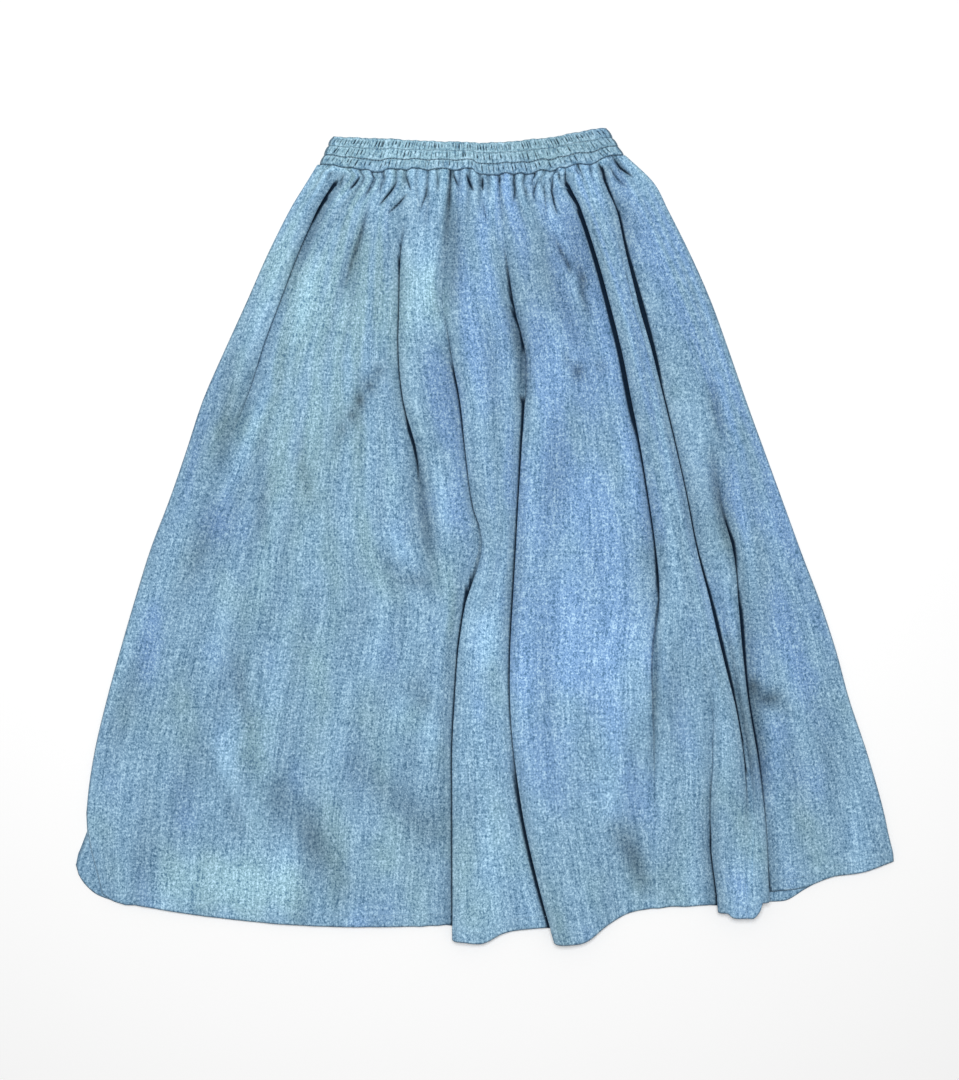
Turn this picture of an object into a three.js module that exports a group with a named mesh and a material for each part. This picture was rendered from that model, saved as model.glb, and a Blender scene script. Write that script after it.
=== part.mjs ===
// A long gathered denim skirt with a shirred elastic waistband, laid flat.
// Millimetres. X runs across the skirt, Y from the hem to the waist, and Z up from the surface it lies on.
import * as THREE from 'three';

// Driving sizes
const WALL = 1.2; // one layer of denim with its nap
const HEM_WALL = 2.0; // the denim where the hem is turned up
const HEM_DEPTH = 15; // how far the hem is turned up
const HEM_REACH = 100; // above the front's hem, where the back's hem may lie under it
const SEAM_GAP = 0.3; // between pieces that are sewn to each other
const EDGE_ROLL = 9; // how far from a side edge the cloth has turned down to it

const BAND_WALL = 3; // elastic between its two layers of denim
const BAND_PUFF = 1.6; // how far a pucker stands out from the band
const BAND_VALLEY = 0.35; // of that, how far the cloth between two puckers stands out
const BAND_SLIT = 0.8; // between the band's front and back
const BAND_CHANNELS = 3; // parted by two rows of stitching
const BAND_PUCKERS = 52; // across the front, and as many across the back
const BAND_END_STEPS = 4; // round each end of the flattened ring

const BACK_GATHERS = 30; // across the back at the waist seam
const BACK_GATHER_DEPTH = 2.2;
const BACK_GATHER_RUN = 60; // down from the seam
const BACK_UNEVEN = { place: 0.22, depth: 0.2, run: 25 }; // how far the back's gathers differ
const GATHER_HALF_WIDTH = 2.6; // of the valley between two gathers, at the seam
const GATHER_BAND = 70; // below the seam, where the panels have a column for each gather

// A table's rows with its columns named
const named = (columns, rows) => rows.map(
  (row) => Object.fromEntries(columns.map((column, index) => [column, row[index]])),
);

// The places that a section is measured at, from left to right: the side edges and eight folds
const PLACES = ['left', 'hip', 'notch', 'strip', 'panel', 'groove', 'roll', 'long', 'last', 'right'];

// How far across each place is, in sections from the waist seam down to the hem.
// The back panel's left edge swings out to a corner that shows beyond the front's.
const SECTIONS = named(['y', ...PLACES, 'backLeft'], [
  [420, -177, -152, -81, -35, 15, 91, 107, 129, 140, 156, -177],
  [390, -195, -162, -84, -36, 16, 91, 115, 134, 154, 187, -195],
  [360, -213, -181, -88, -38, 18, 105, 125, 146, 169, 203, -213],
  [310, -238, -204, -92, -42, 23, 122, 141, 158, 191, 228, -238],
  [260, -260, -223, -93, -47, 30, 136, 157, 171, 212, 250, -260],
  [205, -285, -243, -94, -38, 43, 150, 172, 186, 231, 270, -285],
  [150, -309, -259, -89, -27, 44, 161, 186, 199, 247, 289, -309],
  [95, -327, -284, -76, -21, 41, 172, 199, 212, 257, 309, -327],
  [40, -346, -304, -70, -14, 38, 181, 211, 224, 263, 329, -346],
  [-15, -367, -322, -60, -4, 35, 189, 222, 235, 276, 349, -367],
  [-70, -384, -338, -46, -19, 32, 192, 233, 250, 281, 370, -384],
  [-125, -400, -352, -52, -28, 29, 185, 242, 263, 286, 388, -400],
  [-180, -415, -364, -60, -32, 28, 186, 249, 276, 292, 403, -415],
  [-240, -429, -377, -66, -35, 32, 188, 251, 286, 302, 423, -429],
  [-300, -437, -382, -72, -35, 40, 188, 249, 290, 309, 440, -438],
  [-350, -431, -386, -76, -35, 50, 189, 250, 290, 312, 451, -450],
  [-400, -419, -389, -80, -35, 62, 189, 256, 291, 314, 453, -453],
  [-450, -419, -391, -84, -35, 76, 189, 258, 291, 314, 453, -453],
]);

// The waist seam's height at each place, and the front's hem in the stretch that starts there:
// its height at the stretch's start, quarters and end
const EDGES = named(['place', 'seam', 'start', 'early', 'middle', 'late', 'end'], [
  ['left', 410, -393, -398, -402, -404, -406],
  ['hip', 407, -406, -418, -426, -430, -430],
  ['notch', 403, -430, -430, -429, -429, -428],
  ['strip', 404, -445, -447, -437, -433, -431],
  ['panel', 398, -448, -445, -428, -415, -410],
  ['groove', 406, -410, -408, -408, -407, -405],
  ['roll', 409, -405, -414, -417, -418, -418],
  ['long', 415, -418, -417, -415, -411, -402],
  ['last', 418, -391, -387, -375, -370, -358],
  ['right', 420, -358, -358, -358, -358, -358],
]);

// The back's hem, from the left corner to the right one
const BACK_HEM = named(['x', 'y'], [
  [-452, -365],
  [-427, -388],
  [-400, -399],
  [-356, -406],
  [-257, -421],
  [-108, -426],
  [84, -424],
  [172, -404],
  [254, -400],
  [329, -402],
  [353, -389],
  [392, -368],
  [450, -356],
]);

// The waistband's top edge
const BAND_TOP = named(['x', 'y'], [
  [-168, 441],
  [-147, 440],
  [-92, 438],
  [-37, 435],
  [18, 435],
  [73, 441],
  [106, 447],
  [131, 450],
  [138, 449],
]);
const BAND_ENDS = { bottomLeft: -182, topLeft: -168, bottomRight: 156, topRight: 138 };

// Each fold's course from the waist to the hem: how high its upper side rises over its lower one,
// how far it is shut (0 is a soft step, 1 is lapped), and how high its lower side lies.
// It faces 1 where the cloth on its right lies over, and -1 where the cloth on its left does.
const course = (rows) => named(['y', 'rise', 'shut', 'lie'], rows);
const FOLDS = {
  hip: {
    facing: -1, spread: 12, lap: 7, reach: 45,
    course: course([[406, 0, 0, 0], [396, 4.5, 0, 0], [380, 6, 0.6, 0], [345, 6.5, 1, 0], [200, 6.5, 1, 0],
      [145, 6, 0.4, 0], [95, 4, 0, 0], [18, 1.5, 0, 0], [-60, 0, 0, 0]]),
  },
  notch: {
    facing: 1, spread: 12, lap: 7, reach: 42,
    course: course([[390, 0, 0, 0], [355, 5, 0, 0], [318, 6.5, 0.8, 0], [280, 7, 1, 0], [130, 7, 1, 0],
      [80, 6, 0.4, 0], [35, 5, 0, 0], [-62, 1.5, 0, 0], [-120, 0, 0, 0]]),
  },
  strip: {
    facing: 1, spread: 12, lap: 7, reach: 60,
    course: course([[390, 0, 0, 0], [330, 1, 0, 0], [285, 5.5, 0, 0], [240, 6.5, 0.3, 0], [200, 6.5, 0.8, 0],
      [45, 6.5, 1, 0], [0, 6, 0.4, 0], [-40, 6, 0.4, 0], [-80, 6.5, 1, 0], [-250, 7.5, 1, 0],
      [-440, 9, 1, 0]]),
  },
  panel: {
    facing: 1, spread: 13, lap: 8, reach: 65,
    course: course([[390, 0, 0, 0], [340, 2, 0, 0], [320, 5.5, 0, 0], [280, 6.5, 0.4, 0], [245, 6.5, 0.8, 0],
      [205, 6, 0.5, 0], [165, 6.5, 0.9, 0], [60, 6.5, 1, 0], [-152, 7, 1, 0], [-226, 8, 1, 0],
      [-300, 9.5, 1, 0], [-444, 11, 1, 0]]),
  },
  groove: {
    facing: 1, spread: 11, lap: 6.5, reach: 30,
    course: course([[404, 0, 0, 0], [396, 4.5, 0, 0], [378, 6, 0.6, 0], [345, 7.5, 1, 0], [289, 8, 1, 0],
      [134, 8, 1, 0], [-41, 7, 1, 0], [-81, 6, 0.6, 0], [-130, 5, 0, 0], [-180, 4, 0, 0],
      [-248, 3, 0, 0], [-330, 1, 0, 0], [-400, 0, 0, 0]]),
  },
  roll: {
    facing: 1, spread: 12, lap: 7, reach: 40,
    course: course([[-125, 0, 0, 0], [-165, 5.5, 0, 0], [-200, 6.5, 0.4, 0], [-240, 7, 0.8, 0],
      [-305, 8, 1, 0], [-350, 9, 1, 0], [-402, 10, 1, 0]]),
  },
  long: {
    facing: -1, spread: 11, lap: 6.5, reach: 34,
    course: course([[412, 0, 0, 0], [402, 4.5, 0, 0], [384, 6, 0.6, 0], [350, 8, 1, 0], [302, 9, 1, 0],
      [230, 9, 1, 0], [123, 7.5, 1, 0], [26, 7.5, 1, 0], [-86, 8, 1, 0], [-150, 9, 1, 0],
      [-221, 8, 1, 2], [-262, 7, 0.5, 4], [-300, 4, 0, 6.5], [-345, 1.5, 0, 8.5], [-400, 0, 0, 9.5]]),
  },
  last: {
    facing: -1, spread: 12, lap: 7, reach: 40,
    course: course([[125, 0, 0, 0], [80, 4.5, 0, 0], [35, 6, 0.4, 0], [-5, 6.5, 0.8, 0], [-92, 7, 1, 0],
      [-183, 8, 1, 0], [-263, 9.5, 1, 0], [-350, 11, 1, 0], [-394, 12, 1, 0]]),
  },
};

// Across a fold, from its lower side to its upper one: how far out each point lies when the fold is shut,
// as a share of its spread and of its lap, and how high, as a share of its rise
const FOLD_PROFILE = named(['turn', 'out', 'under', 'height'], [
  [-1, -0.6, 0, 0],
  [-0.55, 0, 0.6, 0],
  [-0.3, 0, 1, 0.14],
  [-0.05, 0, 1, 0.34],
  [0.2, 0, 0.3, 0.46],
  [0.45, 0, 0, 0.72],
  [0.7, 0, 0.2, 0.95],
  [1, 0.8, 0, 1],
]);
const FOLD_SHARE = 0.25; // of the way to the next place, on each side of a fold, is the fold itself
const FOLD_ROOM = 0.4; // of the width up to the nearest place that a fold may spread over
const LAP_PER_SPREAD = 0.62; // the most that a fold laps over, so that its upper side covers it
const FOLD_TAKES_OVER = 3; // the rise at which a fold has no gathers left on it

// How many columns stand between two folds, and how near the side edges the first ones are
const STRETCH_COLUMNS = {
  left: 2, hip: 7, notch: 1, strip: 3, panel: 4, groove: 2, roll: 1, long: 1, last: 3,
};
const EDGE_COLUMNS = [0.05, 0.18];

// Soft creases that no fold carries, from one end to the other: a trough is below 0 and a ridge above
const CREASES = named(['fromX', 'fromY', 'toX', 'toY', 'width', 'height'], [
  [-140, 385, -165, 255, 9, -2.4],
  [-118, 180, -160, 95, 14, -2],
  [78, 326, 113, 283, 11, -2.6],
  [-300, -215, -238, -345, 22, 3],
  [-228, -275, -158, -385, 20, -2],
  [141, -315, 183, -400, 20, -2.6],
  [-291, 50, -325, -60, 16, -1.6],
]);

// The valleys between gathers along the front's waist seam: where each starts, how deep it is,
// and how far down it runs
const GATHERS = named(['x', 'depth', 'run'], [
  [-169, 2.2, 60],
  [-147, 1.8, 35],
  [-135, 2.8, 80],
  [-122, 2.4, 50],
  [-110, 2.0, 40],
  [-96, 2.8, 60],
  [-85, 2.4, 45],
  [-73, 2.0, 70],
  [-61, 2.6, 80],
  [-50, 2.0, 45],
  [-36, 2.8, 110],
  [-26, 2.0, 40],
  [-16, 2.4, 70],
  [-4, 2.2, 50],
  [6, 2.0, 40],
  [17, 2.8, 120],
  [34, 2.4, 70],
  [46, 2.2, 55],
  [57, 2.2, 45],
  [67, 2.4, 60],
  [78, 2.0, 40],
  [104, 2.2, 40],
  [117, 2.4, 35],
  [142, 2.4, 45],
]);

// How high the front's middle layer lies, by how far below the waist seam it is
const FRONT_LEVEL = named(['below', 'level'], [
  [0, 7.6],
  [30, 6.8],
  [80, 5.4],
  [160, 4.8],
  [300, 4.5],
  [900, 4.3],
]);

// How far below the seam the rows lie: close where the gathers are, then even, then at the hem's turn
const GATHER_ROWS = [0, 8, 18, 32, 50, GATHER_BAND];
const FRONT_ROWS = 20;
const BACK_ROWS = 8;
const BACK_COLUMNS = 22;
const SKIRT_LENGTH = 830; // from seam to hem, where it is near its mean

const clamp = (value) => Math.min(1, Math.max(0, value));
const mix = (from, to, share) => from + (to - from) * share;
const bell = (value) => Math.exp(-value * value);

function ease(value) {
  const share = clamp(value);
  return share * share * (3 - 2 * share);
}

// The rows of a table on each side of a key's value, and the share of the way between them
function between(table, key, at) {
  const falling = table[0][key] > table.at(-1)[key];
  const passed = (row) => (falling ? row[key] > at : row[key] < at);
  const next = Math.min(table.length - 1, Math.max(1, table.findIndex((row) => !passed(row))));
  const after = passed(table.at(-1)) ? table.length - 1 : next;
  const before = after - 1;
  const share = (at - table[before][key]) / (table[after][key] - table[before][key]);
  return { before, after, share: clamp(share) };
}

// A column's value, eased from row to row
function readSteps(table, key, column, at) {
  const { before, after, share } = between(table, key, at);
  return mix(table[before][column], table[after][column], ease(share));
}

// A column's value, on a smooth curve through the rows
function readCurve(table, key, column, at) {
  const { before, after, share } = between(table, key, at);
  const value = (index) => table[index][column];
  const slope = (index) => {
    const low = Math.max(0, index - 1);
    const high = Math.min(table.length - 1, index + 1);
    return (value(high) - value(low)) / (table[high][key] - table[low][key]);
  };
  const span = table[after][key] - table[before][key];
  const square = share * share;
  const cube = square * share;
  return value(before) * (2 * cube - 3 * square + 1)
    + slope(before) * span * (cube - 2 * square + share)
    + value(after) * (3 * square - 2 * cube)
    + slope(after) * span * (cube - square);
}

const LAST_PLACE = PLACES.length - 1;
const isFold = (index) => index > 0 && index < LAST_PLACE;
const placeX = (name, y) => readCurve(SECTIONS, 'y', name, y);

// The waist seam, through the places where the sections meet it
const SEAM_LINE = EDGES.map(({ place, seam }) => ({ x: placeX(place, seam), y: seam }));
const seamY = (x) => readCurve(SEAM_LINE, 'x', 'y', x);

// A fold's outline across it, turned to face the way that it does
function foldPoint(fold, turn) {
  const local = turn * fold.facing;
  const part = (column) => {
    const { before, after, share } = between(FOLD_PROFILE, 'turn', local);
    return mix(FOLD_PROFILE[before][column], FOLD_PROFILE[after][column], share);
  };
  const open = fold.spread * local;
  const shut = fold.spread * part('out') + fold.lap * part('under');
  return {
    across: fold.facing * mix(open, shut, fold.shut),
    height: fold.lie + fold.rise * part('height'),
  };
}

// The places across one row of the front, with each fold's state there
function frontSection(down) {
  const places = PLACES.map((name, index) => {
    const y = mix(EDGES[index].seam, EDGES[index].start, down);
    return { name, y, x: placeX(name, y) };
  });
  places.forEach((place, index) => {
    if (!isFold(index)) {
      return;
    }
    const fold = FOLDS[place.name];
    const room = Math.min(place.x - places[index - 1].x, places[index + 1].x - place.x);
    const spread = Math.min(fold.spread, room * FOLD_ROOM);
    place.fold = {
      facing: fold.facing,
      reach: fold.reach,
      lap: Math.min(fold.lap, spread * LAP_PER_SPREAD),
      spread,
      rise: readSteps(fold.course, 'y', 'rise', place.y),
      shut: readSteps(fold.course, 'y', 'shut', place.y),
      lie: readSteps(fold.course, 'y', 'lie', place.y),
    };
  });
  return places;
}

// Where a column is: on a fold, with its turn from -1 to 1, or in the stretch after a place,
// with its share of the way to the next one
function whereIs(column) {
  const nearest = Math.round(column);
  const turn = (column - nearest) / FOLD_SHARE;
  if (isFold(nearest) && Math.abs(turn) <= 1) {
    return { fold: nearest, turn };
  }
  const start = Math.min(LAST_PLACE - 1, Math.floor(column));
  const share = clamp((column - start - FOLD_SHARE) / (1 - 2 * FOLD_SHARE));
  return { start, share: column === LAST_PLACE ? 1 : share };
}

// How far across a column is in a section, and how much the folds lift it
function foldedSpot(section, column) {
  const { fold, turn, start, share } = whereIs(column);
  if (fold !== undefined) {
    const { across, height } = foldPoint(section[fold].fold, turn);
    return { x: section[fold].x + across, lift: height };
  }
  const side = (index, end) => {
    const place = section[index];
    if (!isFold(index)) {
      return { x: place.x, lift: 0, reach: 1 };
    }
    const { across, height } = foldPoint(place.fold, end);
    return { x: place.x + across, lift: height, reach: place.fold.reach };
  };
  const from = side(start, 1);
  const to = side(start + 1, -1);
  const width = to.x - from.x;
  const fade = (distance, reach) => 1 - ease(distance / Math.min(reach, width));
  return {
    x: from.x + width * share,
    lift: from.lift * fade(width * share, from.reach) + to.lift * fade(width * (1 - share), to.reach),
  };
}

// The front's hem, by column
const HEM_SHARES = { start: 0, early: 0.25, middle: 0.5, late: 0.75, end: 1 };
const HEM_STRETCHES = EDGES.map(
  (row) => Object.entries(HEM_SHARES).map(([column, share]) => ({ share, y: row[column] })),
);
function frontHemY(column) {
  const { fold, turn, start, share } = whereIs(column);
  if (fold !== undefined) {
    return mix(EDGES[fold - 1].end, EDGES[fold].start, ease((turn + 1) / 2));
  }
  return readCurve(HEM_STRETCHES[start], 'share', 'y', share);
}

const WAIST_SECTION = frontSection(0);
const waistX = (column) => foldedSpot(WAIST_SECTION, column).x;

// The column that meets the waist seam at a place across, found by halving
const HALVINGS = 40;
function columnAt(x) {
  let low = 0;
  let high = LAST_PLACE;
  for (let step = 0; step < HALVINGS; step += 1) {
    const middle = (low + high) / 2;
    if (waistX(middle) < x) {
      low = middle;
    } else {
      high = middle;
    }
  }
  return (low + high) / 2;
}

// A fold takes up the gathers that would be on it as it rises
function gatherShare(section, column) {
  const { fold } = whereIs(column);
  return fold === undefined ? 1 : 1 - clamp(section[fold].fold.rise / FOLD_TAKES_OVER);
}

// How far the valleys between gathers sink the cloth, by where it meets the seam
function gatherDepth(gathers, seamX, below) {
  return gathers.reduce((sum, { x, depth, run }) => (
    sum + depth * bell((seamX - x) / GATHER_HALF_WIDTH) * (1 - ease(below / run))
  ), 0);
}

function creaseHeight(x, y) {
  return CREASES.reduce((sum, { fromX, fromY, toX, toY, width, height }) => {
    const length = Math.hypot(toX - fromX, toY - fromY);
    const along = ((x - fromX) * (toX - fromX) + (y - fromY) * (toY - fromY)) / (length * length);
    const aside = ((x - fromX) * (toY - fromY) - (y - fromY) * (toX - fromX)) / length;
    const taper = Math.sin(Math.PI * clamp(along));
    return sum + height * bell(aside / width) * taper;
  }, 0);
}

const wallAt = (below) => (below > SKIRT_LENGTH - HEM_DEPTH ? HEM_WALL : WALL);

// The lowest that the front's middle surface lies, on the back and on the back's thicker hem
function lowestLevel(below) {
  const nearHem = ease((below - SKIRT_LENGTH + HEM_REACH) / (HEM_REACH / 2));
  return mix(WALL, HEM_WALL, nearHem) + SEAM_GAP + wallAt(below) / 2;
}

// Round over a side edge: 0 at the edge and 1 where the cloth is level again
function edgeRound(distance) {
  const share = clamp(distance / EDGE_ROLL);
  return Math.sqrt(1 - (1 - share) ** 2);
}

// A point of the front's middle surface
function frontPoint(section, column, below) {
  const down = below / SKIRT_LENGTH;
  const { x, lift } = foldedSpot(section, column);
  const topY = seamY(waistX(column)) - SEAM_GAP / 2;
  const y = mix(topY, frontHemY(column), down);
  const lowest = lowestLevel(below);
  const level = readCurve(FRONT_LEVEL, 'below', 'level', below)
    + lift + creaseHeight(x, y)
    - gatherDepth(GATHERS, waistX(column), below) * gatherShare(section, column);
  const inward = Math.min(x - section[0].x, section[LAST_PLACE].x - x);
  return new THREE.Vector3(x, y, mix(lowest, Math.max(lowest, level), edgeRound(inward)));
}

// A column for each valley between gathers and two for the gather between it and the next
function gatherColumns(seamXs) {
  return seamXs.flatMap((x, index) => {
    const next = seamXs[index + 1];
    return next === undefined ? [x] : [x, mix(x, next, 1 / 3), mix(x, next, 2 / 3)];
  });
}

const FRONT_GATHER_COLUMNS = gatherColumns(GATHERS.map(({ x }) => x)).map(columnAt);

// The columns that one row of the front needs
function frontColumns(section, below) {
  const inGathers = below <= GATHER_BAND;
  const moving = (index) => section[index].fold.rise > 0;
  const onMovingFold = (column) => {
    const { fold } = whereIs(column);
    return fold !== undefined && moving(fold);
  };
  const columns = new Set([0, LAST_PLACE]);
  const addStretch = (start, share) => columns.add(start + mix(FOLD_SHARE, 1 - FOLD_SHARE, share));
  EDGE_COLUMNS.forEach((share) => {
    addStretch(0, share);
    addStretch(LAST_PLACE - 1, 1 - share);
  });
  if (inGathers) {
    FRONT_GATHER_COLUMNS.filter((column) => !onMovingFold(column)).forEach((column) => columns.add(column));
  } else {
    PLACES.slice(0, LAST_PLACE).forEach((name, start) => {
      const count = STRETCH_COLUMNS[name];
      for (let step = 1; step <= count; step += 1) {
        addStretch(start, step / (count + 1));
      }
    });
  }
  for (let index = 1; index < LAST_PLACE; index += 1) {
    if (moving(index)) {
      FOLD_PROFILE.forEach(({ turn }) => columns.add(index + turn * FOLD_SHARE));
    } else if (!inGathers) {
      columns.add(index - FOLD_SHARE).add(index + FOLD_SHARE);
    }
  }
  return [...columns].sort((one, other) => one - other);
}

// Rows from the seam to the hem, with two at the hem's turn
function rowsBelow(evenRows) {
  const last = SKIRT_LENGTH - HEM_DEPTH;
  const rows = [...GATHER_ROWS];
  for (let step = 1; step <= evenRows; step += 1) {
    rows.push(mix(GATHER_BAND, last, step / evenRows));
  }
  return [...rows, last + WALL, SKIRT_LENGTH];
}

// Triangles between two rows, whose columns need not match
function joinRows(upper, lower, triangles) {
  let one = 0;
  let other = 0;
  while (one < upper.length - 1 || other < lower.length - 1) {
    const upperNext = one < upper.length - 1 ? upper[one + 1].column : Infinity;
    const lowerNext = other < lower.length - 1 ? lower[other + 1].column : Infinity;
    if (upperNext <= lowerNext) {
      triangles.push([upper[one].index, lower[other].index, upper[one + 1].index]);
      one += 1;
    } else {
      triangles.push([upper[one].index, lower[other].index, lower[other + 1].index]);
      other += 1;
    }
  }
}

// A closed wall around a middle surface, given as rows of points from the seam down
function wallAround(rows) {
  const spots = rows.flat();
  spots.forEach((spot, index) => {
    spot.index = index;
    spot.normal = new THREE.Vector3();
  });
  const triangles = [];
  for (let row = 1; row < rows.length; row += 1) {
    joinRows(rows[row - 1], rows[row], triangles);
  }
  triangles.forEach((corners) => {
    const [a, b, c] = corners.map((index) => spots[index].point);
    const facing = b.clone().sub(a).cross(c.clone().sub(a));
    corners.forEach((index) => spots[index].normal.add(facing));
  });
  rows[0].forEach((spot) => spot.normal.setY(0)); // cut square to the waist seam
  spots.forEach((spot) => spot.normal.normalize());

  const count = spots.length;
  const upper = spots.map(({ point, normal, wall }) => point.clone().addScaledVector(normal, wall / 2));
  const lower = spots.map(({ point, normal, wall }) => point.clone().addScaledVector(normal, -wall / 2));
  const faces = triangles.flatMap(([a, b, c]) => [[a, b, c], [count + a, count + c, count + b]]);
  const rim = [
    ...rows.map((row) => row[0]),
    ...rows.at(-1).slice(1),
    ...rows.slice(0, -1).reverse().map((row) => row.at(-1)),
    ...rows[0].slice(1, -1).reverse(),
  ].map(({ index }) => index);
  rim.forEach((from, step) => {
    const to = rim[(step + 1) % rim.length];
    faces.push([to, from, count + from], [to, count + from, count + to]);
  });
  return solid([...upper, ...lower], faces);
}

function solid(points, faces) {
  const geometry = new THREE.BufferGeometry().setFromPoints(points);
  geometry.setIndex(faces.flat());
  geometry.computeVertexNormals();
  return geometry;
}

function frontPanel() {
  const rows = rowsBelow(FRONT_ROWS).map((below) => {
    const section = frontSection(below / SKIRT_LENGTH);
    return frontColumns(section, below).map((column) => ({
      column,
      wall: wallAt(below),
      point: frontPoint(section, column, below),
    }));
  });
  return wallAround(rows);
}

// The back's gathers are as uneven as the front's: their places, depths and runs sway in waves
// of different lengths, in radians from one gather to the next
const SWAY = { place: 2.4, depth: 1.7, run: 3.1 };
const BACK_SEAM = { left: SEAM_LINE[0].x, right: SEAM_LINE[LAST_PLACE].x };
const BACK_VALLEYS = Array.from({ length: BACK_GATHERS }, (_, index) => {
  const sway = (kind) => BACK_UNEVEN[kind] * Math.sin(index * SWAY[kind]);
  return {
    x: mix(BACK_SEAM.left, BACK_SEAM.right, (index + 1 + sway('place')) / (BACK_GATHERS + 1)),
    depth: BACK_GATHER_DEPTH * (1 - BACK_UNEVEN.depth + sway('depth')),
    run: BACK_GATHER_RUN + sway('run'),
  };
});

// A point of the back's middle surface. Its underside is flat but where a gather's valley lifts it.
function backPoint(across, below) {
  const down = below / SKIRT_LENGTH;
  const seamX = mix(BACK_SEAM.left, BACK_SEAM.right, across);
  const topY = seamY(seamX) - SEAM_GAP / 2;
  const hemY = readCurve(BACK_HEM, 'x', 'y', mix(BACK_HEM[0].x, BACK_HEM.at(-1).x, across));
  const y = mix(topY, hemY, down);
  const leftY = mix(SEAM_LINE[0].y, BACK_HEM[0].y, down);
  const rightY = mix(SEAM_LINE[LAST_PLACE].y, BACK_HEM.at(-1).y, down);
  const x = mix(placeX('backLeft', leftY), placeX('right', rightY), across);
  const lift = gatherDepth(BACK_VALLEYS, seamX, below);
  return new THREE.Vector3(x, y, wallAt(below) / 2 + lift);
}

function backPanel() {
  const shareOf = (x) => (x - BACK_SEAM.left) / (BACK_SEAM.right - BACK_SEAM.left);
  const gathered = [0, ...gatherColumns(BACK_VALLEYS.map(({ x }) => x)).map(shareOf), 1];
  const even = Array.from({ length: BACK_COLUMNS + 1 }, (_, index) => index / BACK_COLUMNS);
  const rows = rowsBelow(BACK_ROWS).map((below) => (
    (below <= GATHER_BAND ? gathered : even).map((column) => ({
      column,
      wall: wallAt(below),
      point: backPoint(column, below),
    }))
  ));
  return wallAround(rows);
}

// Stations round the flattened ring: along the front, round the right end, along the back,
// and round the left end. Each has its share of the way across, its outward direction,
// and whether it is on a pucker's ridge.
function bandStations() {
  const steps = BAND_PUCKERS * 2;
  const stations = [];
  const straight = (from, to, up) => {
    for (let step = 0; step <= steps; step += 1) {
      const onRidge = step % 2 === 1;
      stations.push({ across: mix(from, to, step / steps), out: 0, up, ridge: onRidge ? 1 : 0 });
    }
  };
  const end = (across, side) => {
    for (let step = 1; step < BAND_END_STEPS; step += 1) {
      const angle = (Math.PI * step) / BAND_END_STEPS;
      stations.push({ across, out: side * Math.sin(angle), up: side * Math.cos(angle), ridge: step % 2 });
    }
  };
  straight(0, 1, 1);
  end(1, 1);
  straight(1, 0, -1);
  end(0, -1);
  return stations;
}

// Up the band's outer face: the stitched rows and edges are pinched, and the channels between puff out
function bandRows() {
  const rows = [];
  for (let step = 0; step <= BAND_CHANNELS * 2; step += 1) {
    rows.push({ up: step / (BAND_CHANNELS * 2), puff: step % 2 });
  }
  return rows;
}

function bandPoint(station, height, thickness) {
  const half = BAND_SLIT / 2 + BAND_WALL + BAND_PUFF;
  const left = mix(BAND_ENDS.bottomLeft, BAND_ENDS.topLeft, height) + half;
  const right = mix(BAND_ENDS.bottomRight, BAND_ENDS.topRight, height) - half;
  const away = BAND_SLIT / 2 + thickness;
  const x = mix(left, right, station.across) + station.out * away;
  const bottom = seamY(x) + SEAM_GAP / 2;
  const top = readCurve(BAND_TOP, 'x', 'y', x);
  return new THREE.Vector3(x, mix(bottom, top, height), half + station.up * away);
}

function waistband() {
  const stations = bandStations();
  const outer = bandRows();
  const points = stations.flatMap((station) => [
    ...outer.map(({ up, puff }) => (
      bandPoint(station, up, BAND_WALL + BAND_PUFF * puff * mix(BAND_VALLEY, 1, station.ridge))
    )),
    bandPoint(station, 1, 0),
    bandPoint(station, 0, 0),
  ]);
  const loop = outer.length + 2;
  const faces = stations.flatMap((_, index) => {
    const here = index * loop;
    const next = ((index + 1) % stations.length) * loop;
    return Array.from({ length: loop }, (__, row) => {
      const above = (row + 1) % loop;
      return [[here + row, next + row, next + above], [here + row, next + above, here + above]];
    }).flat();
  });
  return solid(points, faces);
}

// Stonewashed light blue denim
const denim = new THREE.MeshStandardMaterial({ color: 0x84a9bd, roughness: 0.9, metalness: 0 });
const bandDenim = new THREE.MeshStandardMaterial({ color: 0x86a9b8, roughness: 0.92, metalness: 0 });

function piece(name, geometry, material) {
  const mesh = new THREE.Mesh(geometry, material);
  mesh.name = name;
  return mesh;
}

const skirt = new THREE.Group();
skirt.add(piece('skirt_front', frontPanel(), denim));
skirt.add(piece('skirt_back', backPanel(), denim));
skirt.add(piece('waistband', waistband(), bandDenim));

export default skirt;
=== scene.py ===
"""The looks of a long gathered denim skirt with a shirred elastic waistband, laid flat.

Sizes are in millimetres, and meshes and lights in metres. X runs across the skirt, Y from the hem to
the waist, and Z up from the surface that the skirt lies on.
"""
import logging
import math
from dataclasses import dataclass, field
from enum import Enum, IntEnum
from typing import Union

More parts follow.
